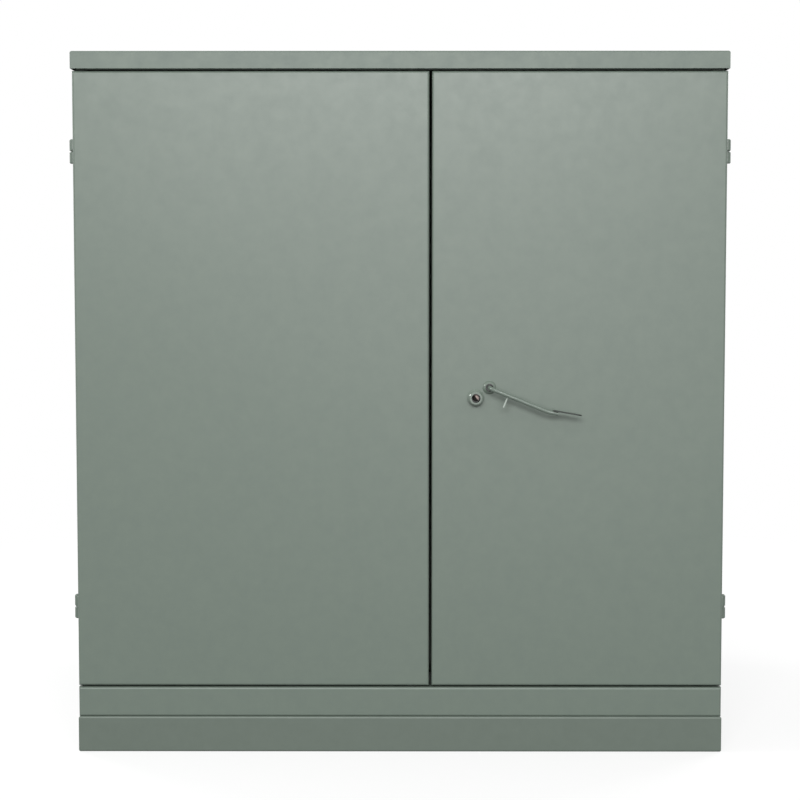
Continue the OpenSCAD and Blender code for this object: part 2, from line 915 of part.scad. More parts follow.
// Switch handle: hub and bar with a hook eye at each end.
module switch_handle() {
  color(zinc)
  translate([hv_mid - switch_dx, cabinet_d, switch_z]) outward() {
    translate([0, 0, -spindle_inside])
      cylinder(d = spindle_d, h = spindle_inside + spindle_neck + knob_gap + switch_hub_t);
    translate([0, 0, spindle_neck + knob_gap]) cylinder(d = switch_hub_d, h = switch_hub_t);
    translate([0, 0, spindle_neck + knob_gap]) linear_extrude(switch_bar_t)
    difference() {
      translate([-switch_reach, 0]) link_profile(2*switch_reach, switch_eye_d);
      for (x = [-switch_reach, switch_reach]) {
        translate([x, 0]) circle(d = switch_eye_hole);
      }
    }
  }
}

// Tap changer handle: round knob with one pointing eye.
module tap_handle() {
  color(zinc)
  translate([hv_mid + tap_dx, cabinet_d, switch_z]) outward() {
    translate([0, 0, -spindle_inside])
      cylinder(d = spindle_d, h = spindle_inside + spindle_neck + knob_gap + tap_knob_t);
    translate([0, 0, spindle_neck + knob_gap]) cylinder(d = tap_knob_d, h = tap_knob_t);
    translate([0, 0, spindle_neck + knob_gap]) linear_extrude(tap_bar_t)
    difference() {
      rotate([0, 0, 90]) link_profile(tap_reach, tap_eye_d);
      translate([0, tap_reach]) circle(d = tap_eye_hole);
    }
  }
}

// Low-voltage terminals: shedded insulators and blades on studs that pass through them.
lv_shed_points = [for (i = [0 : lv_sheds - 1], p = [
  [lv_core_d/2, lv_flange_t + (i + lv_shed_share)*lv_shed_pitch - lv_shed_t/2],
  [lv_shed_d/2, lv_flange_t + (i + lv_shed_share)*lv_shed_pitch - lv_shed_t/2],
  [lv_shed_d/2, lv_flange_t + (i + lv_shed_share)*lv_shed_pitch],
  [lv_core_d/2, lv_flange_t + (i + lv_shed_share)*lv_shed_pitch + lv_shed_t/2]
]) p];
lv_bore = lv_stud_d/2 + seat_fit;
lv_profile = concat(
  [[lv_bore, -lv_tail_len], [lv_tail_d/2, -lv_tail_len], [lv_tail_d/2, 0]],
  [[lv_flange_d/2, 0], [lv_flange_d/2, lv_flange_t], [lv_core_d/2, lv_flange_t]],
  lv_shed_points,
  [[lv_core_d/2, lv_len], [lv_bore, lv_len]]
);

module lv_insulators() {
  color(resin)
  for (i = lv_place_shares) {
    translate([lv_mid + i*lv_pitch, cabinet_d, lv_z]) outward() rotate_extrude() polygon(lv_profile);
  }
}

module lv_blade(i) {
  color(zinc)
  translate([lv_mid + i*lv_pitch, cabinet_d, lv_z]) outward()
  difference() {
    union() {
      translate([0, 0, -stud_inside]) cylinder(d = lv_stud_d, h = stud_inside + lv_len + lv_nut_t);
      translate([0, 0, lv_len]) cylinder(d = lv_nut_d, h = lv_nut_t);
      translate([-blade_t/2, -blade_w/2, lv_len + lv_nut_t]) cube([blade_t, blade_w, blade_len]);
    }
    for (u = [0, blade_hole_pitch], s = [-1, 1]) {
      translate([-blade_t/2 - overrun, s*blade_hole_pitch/2, lv_len + lv_nut_t + blade_len - blade_end - u])
        rotate([0, 90, 0]) cylinder(d = blade_hole_d, h = blade_t + 2*overrun);
    }
  }
}

module lv_blade_1() {
  lv_blade(lv_place_shares[0]);
}

module lv_blade_2() {
  lv_blade(lv_place_shares[1]);
}

module lv_blade_3() {
  lv_blade(lv_place_shares[2]);
}

module lv_blade_4() {
  lv_blade(lv_place_shares[3]);
}

// Earthing pads welded to the tank front, one in each compartment, each with a tapped hole.
module ground_pads() {
  color(steel_bare)
  for (x = [hv_pad_x, lv_pad_x]) {
    translate([x, cabinet_d, pad_z]) outward()
    difference() {
      translate([-pad_w/2, -pad_w/2, 0]) cube([pad_w, pad_w, pad_t]);
      translate([0, 0, pad_t - pad_hole_depth]) cylinder(d = pad_hole_d, h = pad_hole_depth + overrun);
    }
  }
}

// Round dial gauge on the tank front: case with neck, turning needle and pressed-in lens.
dial_z = gauge_t - gauge_dial;

module gauge_case(x) {
  color(rubber_black)
  translate([x, cabinet_d, gauge_z]) outward() {
    translate([0, 0, -gauge_neck]) cylinder(d = gauge_neck_d, h = gauge_neck + dial_z);
    difference() {
      cylinder(d = gauge_d, h = gauge_t);
      translate([0, 0, dial_z]) cylinder(d = gauge_dial_d, h = gauge_dial + overrun);
    }
    translate([0, 0, dial_z]) cylinder(d = gauge_spindle_d, h = gauge_spindle);
  }
}

module needle(x) {
  color(steel_bare)
  translate([x, cabinet_d, gauge_z]) outward()
  translate([0, 0, dial_z + needle_rise]) linear_extrude(needle_t)
  difference() {
    union() {
      circle(d = needle_hub_d);
      polygon([[-needle_w/2, 0], [needle_w/2, 0], [0, needle_len]]);
    }
    circle(d = gauge_spindle_d + 2*run_fit);
  }
}

module level_gauge() {
  gauge_case(lv_mid - gauge_spread);
}

module level_needle() {
  needle(lv_mid - gauge_spread);
}

module thermometer() {
  gauge_case(lv_mid + gauge_spread);
}

module temperature_needle() {
  needle(lv_mid + gauge_spread);
}

module gauge_lenses() {
  color([0.8, 0.9, 0.9])
  for (x = [lv_mid - gauge_spread, lv_mid + gauge_spread]) {
    translate([x, cabinet_d, gauge_z]) outward()
    translate([0, 0, gauge_t - lens_t]) cylinder(d = gauge_dial_d - 2*lens_gap, h = lens_t);
  }
}

module relief_valve() {
  color(zinc)
  translate([lv_mid, cabinet_d, relief_z]) outward() {
    translate([0, 0, -relief_neck]) cylinder(d = relief_neck_d, h = relief_neck + relief_hex_t);
    cylinder(d = relief_hex_d, h = relief_hex_t, $fn = 6);
    translate([0, 0, relief_hex_t]) cylinder(d = relief_body_d, h = relief_body);
    translate([0, 0, relief_hex_t + relief_body])
      cylinder(d1 = relief_body_d, d2 = relief_cap_d, h = relief_cap);
  }
}

module drain_valve() {
  color(zinc)
  translate([lv_mid - drain_dx, cabinet_d, drain_z]) outward() {
    translate([0, 0, -drain_neck]) cylinder(d = drain_neck_d, h = drain_neck + drain_flange_t);
    cylinder(d = drain_flange_d, h = drain_flange_t);
    translate([0, 0, drain_flange_t]) cylinder(d = drain_body_d, h = drain_body);
    translate([0, 0, drain_flange_t + drain_body]) cylinder(d = drain_plug_d, h = drain_plug, $fn = 6);
    translate([0, 0, drain_flange_t + drain_spigot]) rotate([90, 0, 0])
      cylinder(d = drain_spigot_d, h = drain_spigot_out);
  }
}

// Lift-off hinges outside the cabinet: the leaf of the lower knuckle, which has the pin, is welded
// to the side panel and the leaf of the upper one to the door's edge. Built for the left side.
knuckle_h = (hinge_len - hinge_split) / 2;

module knuckle() {
  cylinder(d1 = hinge_barrel_d - 2*hinge_chamfer, d2 = hinge_barrel_d, h = hinge_chamfer);
  translate([0, 0, hinge_chamfer]) cylinder(d = hinge_barrel_d, h = knuckle_h - 2*hinge_chamfer);
  translate([0, 0, knuckle_h - hinge_chamfer])
    cylinder(d1 = hinge_barrel_d, d2 = hinge_barrel_d - 2*hinge_chamfer, h = hinge_chamfer);
}

module frame_knuckle(z) {
  translate([-hinge_x, hinge_y, z]) {
    translate([0, 0, -hinge_split/2]) mirror([0, 0, 1]) knuckle();
    translate([hinge_out - hinge_leaf_t, 0, hinge_chamfer - hinge_split/2 - knuckle_h])
      cube([hinge_leaf_t, hinge_leaf_len, knuckle_h - 2*hinge_chamfer]);
    translate([0, 0, -hinge_split/2 - knuckle_h/2])
      cylinder(d = hinge_pin_d, h = knuckle_h/2 + hinge_split + knuckle_h - hinge_pin_short);
  }
}

module door_knuckle(z) {
  translate([-hinge_x, hinge_y, z + hinge_split/2])
  difference() {
    union() {
      knuckle();
      translate([hinge_out - hinge_leaf_t, -hinge_leaf_len, hinge_chamfer])
        cube([hinge_leaf_t, hinge_leaf_len, knuckle_h - 2*hinge_chamfer]);
    }
    translate([0, 0, -overrun]) cylinder(d = hinge_pin_d + 2*run_fit, h = knuckle_h + 2*overrun);
  }
}

module frame_hinges() {
  color(steel_green)
  for (z = hinge_zs) {
    frame_knuckle(z);
    mirror([1, 0, 0]) frame_knuckle(z);
  }
}

module hv_door_hinges() {
  color(steel_green)
  for (z = hinge_zs) {
    door_knuckle(z);
  }
}

module lv_door_hinges() {
  color(steel_green)
  for (z = hinge_zs) {
    mirror([1, 0, 0]) door_knuckle(z);
  }
}

// Door pans: one folded sheet each, notched for the hinges and pierced for the bolts.
module hv_door() {
  color(steel_green)
  difference() {
    translate([-half_w, 0, door_z1]) inward() tray(hv_door_w, door_h, door_d, bend_r, sheet);
    hinge_room(-hinge_x);
    bolt_window(door_z0, slide_fit);
    bolt_window(door_z1 - sheet, slide_fit);
  }
}

module lv_door() {
  color(steel_green)
  difference() {
    translate([split_x1, 0, door_z1]) inward() tray(lv_door_w, door_h, door_d, bend_r, sheet);
    hinge_room(hinge_x);
    rod_window(upper_rod_x, door_z1 - sheet, slide_fit);
    rod_window(lower_rod_x, door_z0, slide_fit);
    translate([handle_x, -overrun, handle_z]) inward()
      cylinder(d = boss_d + 2*seat_fit, h = sheet + 2*overrun);
    translate([lock_x, -overrun, lock_z]) inward()
      cylinder(d = collar_neck_d + 2*seat_fit, h = sheet + 2*overrun);
  }
}

// Hat-section stiffeners spot-welded inside the door skins.
module hat_profile() {
  translate([hat_flange, hat_h]) mirror([0, 1])
  difference() {
    round_foot(hat_top, hat_h, hat_r);
    translate([hat_t, hat_t]) round_foot(hat_top - 2*hat_t, hat_h, hat_r - hat_t);
  }
  square([hat_flange + hat_t, hat_t]);
  translate([hat_flange + hat_top - hat_t, 0]) square([hat_flange + hat_t, hat_t]);
}

module hat(x) {
  color(steel_green)
  translate([x - hat_w/2, sheet, door_z0 + hat_end]) linear_extrude(door_h - 2*hat_end) hat_profile();
}

module hv_stiffeners() {
  for (s = hv_hat_shares) {
    hat(s*hv_door_w - half_w);
  }
}

module lv_stiffeners() {
  for (s = lv_hat_shares) {
    hat(split_x1 + s*lv_door_w);
  }
}

// Hand bolts of the high-voltage door, drawn at rest inside the door, and their guides.
module hand_guide(z) {
  translate([hand_bolt_x, 0, z - hand_guide_h/2])
  difference() {
    translate([-hand_guide_w/2, sheet, 0]) cube([hand_guide_w, hand_guide_d, hand_guide_h]);
    translate([0, hand_bolt_y, -overrun])
      cylinder(d = hand_bolt_d + 2*run_fit, h = hand_guide_h + 2*overrun);
  }
}

module hv_bolt_guides() {
  color(steel_bare)
  for (s = [hand_guide_tip, hand_guide_rear]) {
    hand_guide(door_z1 - rod_set - s);
    hand_guide(door_z0 + rod_set + s);
  }
}

module hand_bolt() {
  cylinder(d = hand_bolt_d, h = hand_bolt_len - rod_nose);
  translate([0, 0, hand_bolt_len - rod_nose])
    cylinder(d1 = hand_bolt_d, d2 = hand_bolt_d - rod_nose, h = rod_nose);
  translate([0, 0, hand_knob_in]) inward() cylinder(d = hand_knob_d, h = hand_bolt_d/2 + hand_knob_len);
}

module hv_upper_bolt() {
  color(steel_bare)
  translate([hand_bolt_x, hand_bolt_y, door_z1 - rod_set - hand_bolt_len]) hand_bolt();
}

module hv_lower_bolt() {
  color(steel_bare)
  translate([hand_bolt_x, hand_bolt_y, door_z0 + rod_set + hand_bolt_len]) mirror([0, 0, 1]) hand_bolt();
}

// Handle boss: domed bush in the door skin with a wide mouth round the shaft.
module handle_boss() {
  color(steel_green)
  translate([handle_x, 0, handle_z]) outward()
  difference() {
    union() {
      translate([0, 0, -boss_in]) cylinder(d = boss_d, h = boss_in + boss_rim);
      intersection() {
        cylinder(d = boss_rim_d, h = boss_rise + overrun);
        translate([0, 0, boss_rise - boss_dome_r]) sphere(boss_dome_r);
      }
    }
    translate([0, 0, -boss_in - overrun])
      cylinder(d = handle_d + 2*run_fit, h = boss_in + boss_rise + 2*overrun);
    translate([0, 0, -boss_mouth_in]) cylinder(d = boss_mouth_d, h = boss_mouth_in + boss_rise + overrun);
  }
}

// Collar that keeps all but its own socket off the locking bolt.
module lock_collar() {
  color(steel_green)
  translate([lock_x, 0, lock_z]) outward()
  difference() {
    union() {
      translate([0, 0, -collar_in]) cylinder(d = collar_neck_d, h = collar_in + collar_flange_t);
      cylinder(d = collar_flange_d, h = collar_flange_t - collar_flange_slope);
      translate([0, 0, collar_flange_t - collar_flange_slope])
        cylinder(d1 = collar_flange_d, d2 = collar_d, h = collar_flange_slope);
      translate([0, 0, collar_flange_t]) cylinder(d = collar_d, h = collar_out - collar_flange_t - collar_lip);
      translate([0, 0, collar_out - collar_lip])
        cylinder(d1 = collar_d, d2 = collar_d - 2*collar_lip, h = collar_lip);
    }
    translate([0, 0, -collar_floor]) cylinder(d = collar_bore_d, h = collar_out + collar_floor + overrun);
    translate([0, 0, -collar_in - overrun])
      cylinder(d = lock_bolt_d + 2*run_fit, h = collar_in + collar_out);
  }
}

// Five-sided locking bolt, drawn backed off so that its tip clears the latch cam.
lock_head_y = collar_floor - lock_travel;

module lock_bolt() {
  color(steel_bare)
  translate([lock_x, lock_head_y, lock_z]) {
    outward() cylinder(d = lock_washer_d, h = lock_washer_t);
    translate([0, -lock_washer_t, 0]) outward() cylinder(d = lock_head_d, h = lock_head_t, $fn = 5);
    inward() cylinder(d = lock_bolt_d, h = collar_in - lock_head_y);
  }
}

// Handle: one rod bent at the shaft and near its end, with a tab welded on.
module handle_shape() {
  translate([0, handle_bend - handle_standoff, 0]) inward()
    cylinder(d = handle_d, h = handle_standoff - handle_bend + arm_y + arm_t);
  translate([0, arm_y + arm_t, 0]) inward() cylinder(d = peen_d, h = peen_t);
  translate([handle_bend, handle_bend - handle_standoff, 0]) rotate([0, 0, 180])
    rotate_extrude(angle = 90) translate([handle_bend, 0]) circle(d = handle_d);
  translate([handle_bend, -handle_standoff, 0]) rotate([0, 90, 0])
    cylinder(d = handle_d, h = handle_grip - handle_bend);
  translate([handle_grip, -handle_standoff, tail_bend]) rotate([90, 0, 0]) rotate([0, 0, -90])
    rotate_extrude(angle = tail_lift) translate([tail_bend, 0]) circle(d = handle_d);
  translate([tab_u - tab_t/2, -handle_standoff - tab_d/2, -tab_reach]) handle_tab();
  rod_end()
  difference() {
    rotate([0, 90, 0]) cylinder(d = handle_d - tail_waist, h = tail_len);
    translate([tail_len - handle_blade_lap, -handle_d, blade_seat])
      cube([handle_blade_lap + overrun, 2*handle_d, handle_d]);
  }
}

// Places a piece at the start of the straight end past the rod's second bend.
module rod_end() {
  translate([tail_bend*sin(tail_lift) + handle_grip, -handle_standoff, tail_bend*(1 - cos(tail_lift))])
    rotate([0, -tail_lift, 0]) children();
}

module handle_tab() {
  cube([tab_t, tab_d, tab_reach - handle_d/2 + tab_sink]);
}

module handle_blade() {
  linear_extrude(handle_blade_t)
  difference() {
    union() {
      translate([0, -handle_blade_d/2]) square([handle_blade_len - handle_blade_d/2, handle_blade_d]);
      translate([handle_blade_len - handle_blade_d/2, 0]) circle(d = handle_blade_d);
    }
    translate([handle_blade_len - padlock_in, 0]) circle(d = padlock_d);
  }
}

module latch_handle() {
  color(steel_green)
  translate([handle_x, 0, handle_z]) rotate([0, handle_droop, 0]) handle_shape();
}

// Blade of bare plate welded on a flat at the rod's end, with a hole for a padlock.
module padlock_blade() {
  color(steel_bare)
  translate([handle_x, 0, handle_z]) rotate([0, handle_droop, 0]) rod_end()
    translate([tail_len - handle_blade_lap, 0, blade_seat]) handle_blade();
}

// Latch cam: hub, lobe for the locking bolt, and a bar with a crank pin at each end.
module latch_cam() {
  color(steel_bare)
  translate([handle_x, 0, handle_z])
  difference() {
    union() {
      translate([0, cam_hub_y, 0]) inward() cylinder(d = cam_hub_d, h = arm_y + arm_t - cam_hub_y);
      rotate([0, atan2(lock_dz, -lock_dx) - handle_turn, 0]) translate([0, cam_y, 0]) cam_lobe();
      rotate([0, -half_turn, 0]) translate([0, arm_y, 0]) cam_arms();
    }
    translate([0, cam_hub_y - overrun, 0]) inward()
      cylinder(d = handle_d + 2*seat_fit, h = arm_y + arm_t - cam_hub_y + 2*overrun);
  }
}

module cam_lobe() {
  inward() linear_extrude(lobe_t)
  difference() {
    link_profile(lock_r, lobe_d);
    translate([lock_r, 0]) circle(d = lock_bolt_d + 2*lock_lobe_clear);
  }
}

module cam_arms() {
  inward() {
    linear_extrude(arm_t) translate([-crank_r, 0]) link_profile(2*crank_r, arm_d);
    for (x = [-crank_r, crank_r]) {
      translate([x, 0, arm_t]) cylinder(d = crank_pin_d, h = crank_pin_len);
    }
  }
}

// Flat latch rods, drawn at rest inside the door edges; a cross slot takes the crank pin.
yoke_d = crank_pin_d + 2*yoke_clear;
yoke_run = crank_r - crank_run + 2*yoke_end;

module latch_rod(len) {
  translate([0, rod_y, 0]) inward() mirror([0, 1, 0]) linear_extrude(rod_t)
  difference() {
    polygon([
      [-rod_w/2, -rod_tail],
      [rod_w/2, -rod_tail],
      [rod_w/2, len - rod_nose],
      [rod_w/2 - rod_nose, len],
      [rod_nose - rod_w/2, len],
      [-rod_w/2, len - rod_nose]
    ]);
    translate([-yoke_run/2, 0]) link_profile(yoke_run, yoke_d);
  }
}

module upper_rod() {
  color(steel_bare)
  translate([upper_rod_x, 0, handle_z - crank_rise])
    latch_rod(door_z1 - rod_set - handle_z + crank_rise);
}

module lower_rod() {
  color(steel_bare)
  translate([lower_rod_x, 0, handle_z + crank_rise]) mirror([0, 0, 1])
    latch_rod(handle_z + crank_rise - door_z0 - rod_set);
}

// Strap guides that hold the latch rods to the door skin.
module rod_guide(x, z) {
  translate([x, sheet, z - guide_h/2])
  difference() {
    translate([-rod_w/2 - slide_fit - guide_t, 0, 0])
      cube([rod_w + 2*slide_fit + 2*guide_t, rod_y + rod_t + slide_fit + guide_t - sheet, guide_h]);
    translate([-rod_w/2 - slide_fit, guide_t, -overrun])
      cube([rod_w + 2*slide_fit, rod_y + rod_t + slide_fit - sheet - guide_t, guide_h + 2*overrun]);
  }
}

module rod_guides() {
  color(steel_bare) {
    rod_guide(upper_rod_x, handle_z + guide_near);
    rod_guide(upper_rod_x, door_z1 - guide_far);
    rod_guide(lower_rod_x, handle_z - guide_near);
    rod_guide(lower_rod_x, door_z0 + guide_far);
  }
}

seat() base_frame();
seat() front_sill();
seat() left_side_panel();
seat() right_side_panel();
seat() door_header();
seat() roof_lid();
seat() compartment_barrier();
seat() tank_front();
seat() tank_shell();
seat() tank_cover();
seat() cover_bolts();
seat() fin_wall();
seat() lifting_lugs();
seat() core();
seat() coil_1();
seat() coil_2();
seat() coil_3();
seat() hv_bushing_1();
seat() hv_bushing_2();
seat() hv_bushing_3();
seat() fuse_housings();
seat() fuse_holder_1();
seat() fuse_holder_2();
seat() fuse_holder_3();
seat() switch_boss();
seat() switch_handle();
seat() tap_boss();
seat() tap_handle();
seat() lv_insulators();
seat() lv_blade_1();
seat() lv_blade_2();
seat() lv_blade_3();
seat() lv_blade_4();
seat() ground_pads();
seat() level_gauge();
seat() level_needle();
seat() thermometer();
seat() temperature_needle();
seat() gauge_lenses();
seat() relief_valve();
seat() drain_valve();
seat() frame_hinges();
seat() hv_door();
seat() hv_stiffeners();
seat() hv_door_hinges();
seat() hv_bolt_guides();
seat() hv_upper_bolt();
seat() hv_lower_bolt();
seat() lv_door();
seat() lv_stiffeners();
seat() lv_door_hinges();
seat() handle_boss();
seat() lock_collar();
seat() rod_guides();
seat() latch_handle();
seat() padlock_blade();
seat() latch_cam();
seat() upper_rod();
seat() lower_rod();
seat() lock_bolt();
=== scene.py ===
import math

import bmesh
import bpy
from mathutils import Matrix, Vector


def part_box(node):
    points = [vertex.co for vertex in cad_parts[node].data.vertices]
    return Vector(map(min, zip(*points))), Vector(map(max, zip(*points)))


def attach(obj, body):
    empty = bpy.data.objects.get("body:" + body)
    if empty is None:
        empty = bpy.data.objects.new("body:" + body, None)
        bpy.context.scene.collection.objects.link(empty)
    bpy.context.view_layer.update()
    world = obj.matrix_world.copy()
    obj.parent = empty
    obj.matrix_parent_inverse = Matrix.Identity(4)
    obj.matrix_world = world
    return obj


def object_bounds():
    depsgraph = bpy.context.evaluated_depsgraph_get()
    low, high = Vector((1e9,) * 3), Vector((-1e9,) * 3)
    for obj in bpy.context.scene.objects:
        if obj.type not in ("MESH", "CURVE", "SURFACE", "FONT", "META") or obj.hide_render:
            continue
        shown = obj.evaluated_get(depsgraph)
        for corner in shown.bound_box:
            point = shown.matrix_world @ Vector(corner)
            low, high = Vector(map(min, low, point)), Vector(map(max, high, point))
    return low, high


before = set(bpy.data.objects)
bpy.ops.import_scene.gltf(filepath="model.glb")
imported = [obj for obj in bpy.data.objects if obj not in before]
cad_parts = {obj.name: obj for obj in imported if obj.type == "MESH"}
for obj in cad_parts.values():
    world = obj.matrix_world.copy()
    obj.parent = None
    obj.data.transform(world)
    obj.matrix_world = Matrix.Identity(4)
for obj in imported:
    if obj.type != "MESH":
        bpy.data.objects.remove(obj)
cad_low, cad_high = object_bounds()


# Base frame.
# A ring of folded 5 mm plate with a cross web under the tank front, welded at the corners.
# It carries a sprayed and baked polyester coat, like the whole cabinet.

millimetre = 0.001


def linear(hex_colour):
    channels = [int(hex_colour[i:i + 2], 16) / 255 for i in (1, 3, 5)]
    return [c / 12.92 if c <= 0.04045 else ((c + 0.055) / 1.055) ** 2.4 for c in channels] + [1.0]


def add_node(material, kind, settings, links):
    node = material.node_tree.nodes.new(kind)
    for name, value in settings.items():
        if isinstance(name, int) or name in node.inputs:
            node.inputs[name].default_value = value
        else:
            setattr(node, name, value)
    for name, source in links.items():
        material.node_tree.links.new(source, node.inputs[name])
    return node


def new_material(name, **sockets):
    material = bpy.data.materials.new(name)
    material.use_nodes = True
    shader = material.node_tree.nodes["Principled BSDF"]
    for socket, value in sockets.items():
        shader.inputs[socket.replace("_", " ")].default_value = value
    return material, shader


def link(material, source, shader, socket):
    material.node_tree.links.new(source, shader.inputs[socket])


def dress(material, *nodes):
    for name in nodes:
        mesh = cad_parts[name].data
        mesh.materials.clear()
        mesh.materials.append(material)


# Baked polyester coat: satin, a little cloudy from the spray, with a fine orange peel.
# The sheet under it is not quite flat, which breaks up the sheen.
def coat(name, pale, deep, roughness):
    patch = 28 * millimetre
    gloss_swing = 0.025
    peel, peel_depth = 2.5 * millimetre, 0.06 * millimetre
    buckle, buckle_depth = 420 * millimetre, 1.2 * millimetre
    material, shader = new_material(name, IOR=1.5)
    place = add_node(material, "ShaderNodeTexCoord", {}, {}).outputs["Object"]
    cloud = add_node(material, "ShaderNodeTexNoise",
                     {"Scale": 1 / patch, "Detail": 5.0, "Roughness": 0.6}, {"Vector": place})
    spread = add_node(material, "ShaderNodeMapRange",
                      {"From Min": 0.3, "From Max": 0.7}, {"Value": cloud.outputs["Fac"]})
    colour = add_node(material, "ShaderNodeMixRGB",
                      {"Color1": linear(deep), "Color2": linear(pale)}, {"Fac": spread.outputs["Result"]})
    gloss = add_node(material, "ShaderNodeMapRange",
                     {"To Min": roughness + gloss_swing, "To Max": roughness - gloss_swing},
                     {"Value": spread.outputs["Result"]})
    wave = add_node(material, "ShaderNodeTexNoise", {"Scale": 1 / buckle, "Detail": 1.0},
                    {"Vector": place})
    bent = add_node(material, "ShaderNodeBump", {"Strength": 1.0, "Distance": buckle_depth},
                    {"Height": wave.outputs["Fac"]})
    grain = add_node(material, "ShaderNodeTexNoise", {"Scale": 1 / peel, "Detail": 2.0},
                     {"Vector": place})
    skin = add_node(material, "ShaderNodeBump", {"Strength": 0.25, "Distance": peel_depth},
                    {"Height": grain.outputs["Fac"], "Normal": bent.outputs["Normal"]})
    link(material, colour.outputs["Color"], shader, "Base Color")
    link(material, gloss.outputs["Result"], shader, "Roughness")
    link(material, skin.outputs["Normal"], shader, "Normal")
    return material


# The base's coat is coloured a little darker than the cabinet's, so the cabinet reads darker towards the
# bottom.
dress(coat("darker_base_polyester_coat", "#646F66", "#606B62", 0.42), "base_frame")


# Oil tank.
# Welded from 5 mm plate behind a thicker front plate, closed by a cover that is bolted to a rim.
# Pressed cooling fins stand on its rear wall, and four lifting lugs near its top.

coat_pale, coat_deep = "#6B776D", "#67736A"
cabinet_coat = coat("baked_polyester_coat", coat_pale, coat_deep, 0.38)
dress(cabinet_coat, "tank_shell", "tank_cover", "fin_wall", "lifting_lugs")
inner_coat = coat("flat_polyester_coat", "#6E7A70", "#68746B", 0.5)
dress(inner_coat, "tank_front")


# Fillet welds run down the front corners of the tank, along its foot and round the fin wall.
# Each bead is a rounded ridge with the ripples of a welding run, coated with the tank.
bead_r = 4 * millimetre
bead_sides = 10
ripple, ripple_depth = 5 * millimetre, 1 * millimetre


def round_bar(mesh, start, end, radius, sides):
    start, end = Vector(start), Vector(end)
    turn = (end - start).to_track_quat("Z", "Y").to_matrix().to_4x4()
    bmesh.ops.create_cone(mesh, cap_ends=True, segments=sides, radius1=radius, radius2=radius,
                          depth=(end - start).length, matrix=Matrix.Translation((start + end) / 2) @ turn)


def new_piece(name, mesh, material, body):
    bmesh.ops.recalc_face_normals(mesh, faces=mesh.faces)
    data = bpy.data.meshes.new(name)
    mesh.to_mesh(data)
    mesh.free()
    data.materials.append(material)
    piece = bpy.data.objects.new(name, data)
    bpy.context.scene.collection.objects.link(piece)
    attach(piece, body)


shell_low, shell_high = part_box("tank_shell")
fins_low, fins_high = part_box("fin_wall")
seams = bmesh.new()
rear_y = shell_high.y
runs = []
for x in (shell_low.x, shell_high.x):
    corner = (x, shell_low.y, shell_low.z)
    runs += [(corner, (x, shell_low.y, shell_high.z)), (corner, (x, rear_y, shell_low.z))]
runs.append(((shell_low.x, rear_y, shell_low.z), (shell_high.x, rear_y, shell_low.z)))
for z in (fins_low.z, fins_high.z):
    runs.append(((fins_low.x, rear_y, z), (fins_high.x, rear_y, z)))
for x in (fins_low.x, fins_high.x):
    runs.append(((x, rear_y, fins_low.z), (x, rear_y, fins_high.z)))
for start, end in runs:
    round_bar(seams, start, end, bead_r, bead_sides)
bead_coat, shader = new_material("coated_weld_bead", Base_Color=linear("#69756B"), Roughness=0.38)
place = add_node(bead_coat, "ShaderNodeTexCoord", {}, {}).outputs["Object"]
scales = add_node(bead_coat, "ShaderNodeTexVoronoi", {"Scale": 1 / ripple}, {"Vector": place})
ridge = add_node(bead_coat, "ShaderNodeBump",
                 {"Strength": 0.8, "Distance": ripple_depth, "invert": True},
                 {"Height": scales.outputs["Distance"]})
link(bead_coat, ridge.outputs["Normal"], shader, "Normal")
new_piece("tank_weld_seams", seams, bead_coat, "enclosure")


# Cover bolts.
# Hexagon bolts in zinc-plated steel, tightened round the rim of the tank.
# The plating gives a pale, slightly blue metal whose fine crystals break up the gloss.

zinc_crystal = 4 * millimetre
zinc_plate, shader = new_material("zinc_plated_steel", Metallic=1.0)
place = add_node(zinc_plate, "ShaderNodeTexCoord", {}, {}).outputs["Object"]
crystal = add_node(zinc_plate, "ShaderNodeTexVoronoi", {"Scale": 1 / zinc_crystal}, {"Vector": place})
tone = add_node(zinc_plate, "ShaderNodeMixRGB", {"Color1": linear("#9DA2A6"), "Color2": linear("#B6BABB")},
                {"Fac": crystal.outputs["Distance"]})
gloss = add_node(zinc_plate, "ShaderNodeMapRange", {"To Min": 0.3, "To Max": 0.44},
                 {"Value": crystal.outputs["Distance"]})
link(zinc_plate, tone.outputs["Color"], shader, "Base Color")
link(zinc_plate, gloss.outputs["Result"], shader, "Roughness")
dress(zinc_plate, "cover_bolts")


# Core and coils.
# The three-limb core is a stack of thin steel sheets; each limb carries a coil of varnished copper.
# Both stand in the oil. The sheets and wires are drawn coarser than they are, so that they show.

# The edges of the sheets show as fine grey lines, dull under the oil.
sheet_line = 3 * millimetre
bands_per_scale = 3.2    # bands that a wave texture draws in one unit of its scale
core_sheets, shader = new_material("stacked_core_steel", Metallic=1.0, Roughness=0.5)
place = add_node(core_sheets, "ShaderNodeTexCoord", {}, {}).outputs["Object"]
layer = add_node(core_sheets, "ShaderNodeTexWave",
                 {"wave_type": "BANDS", "bands_direction": "Y", "Scale": 1 / (bands_per_scale * sheet_line)},
                 {"Vector": place})
tone = add_node(core_sheets, "ShaderNodeMixRGB", {"Color1": linear("#4B4C50"), "Color2": linear("#6E6F73")},
                {"Fac": layer.outputs["Fac"]})
link(core_sheets, tone.outputs["Color"], shader, "Base Color")
dress(core_sheets, "core")

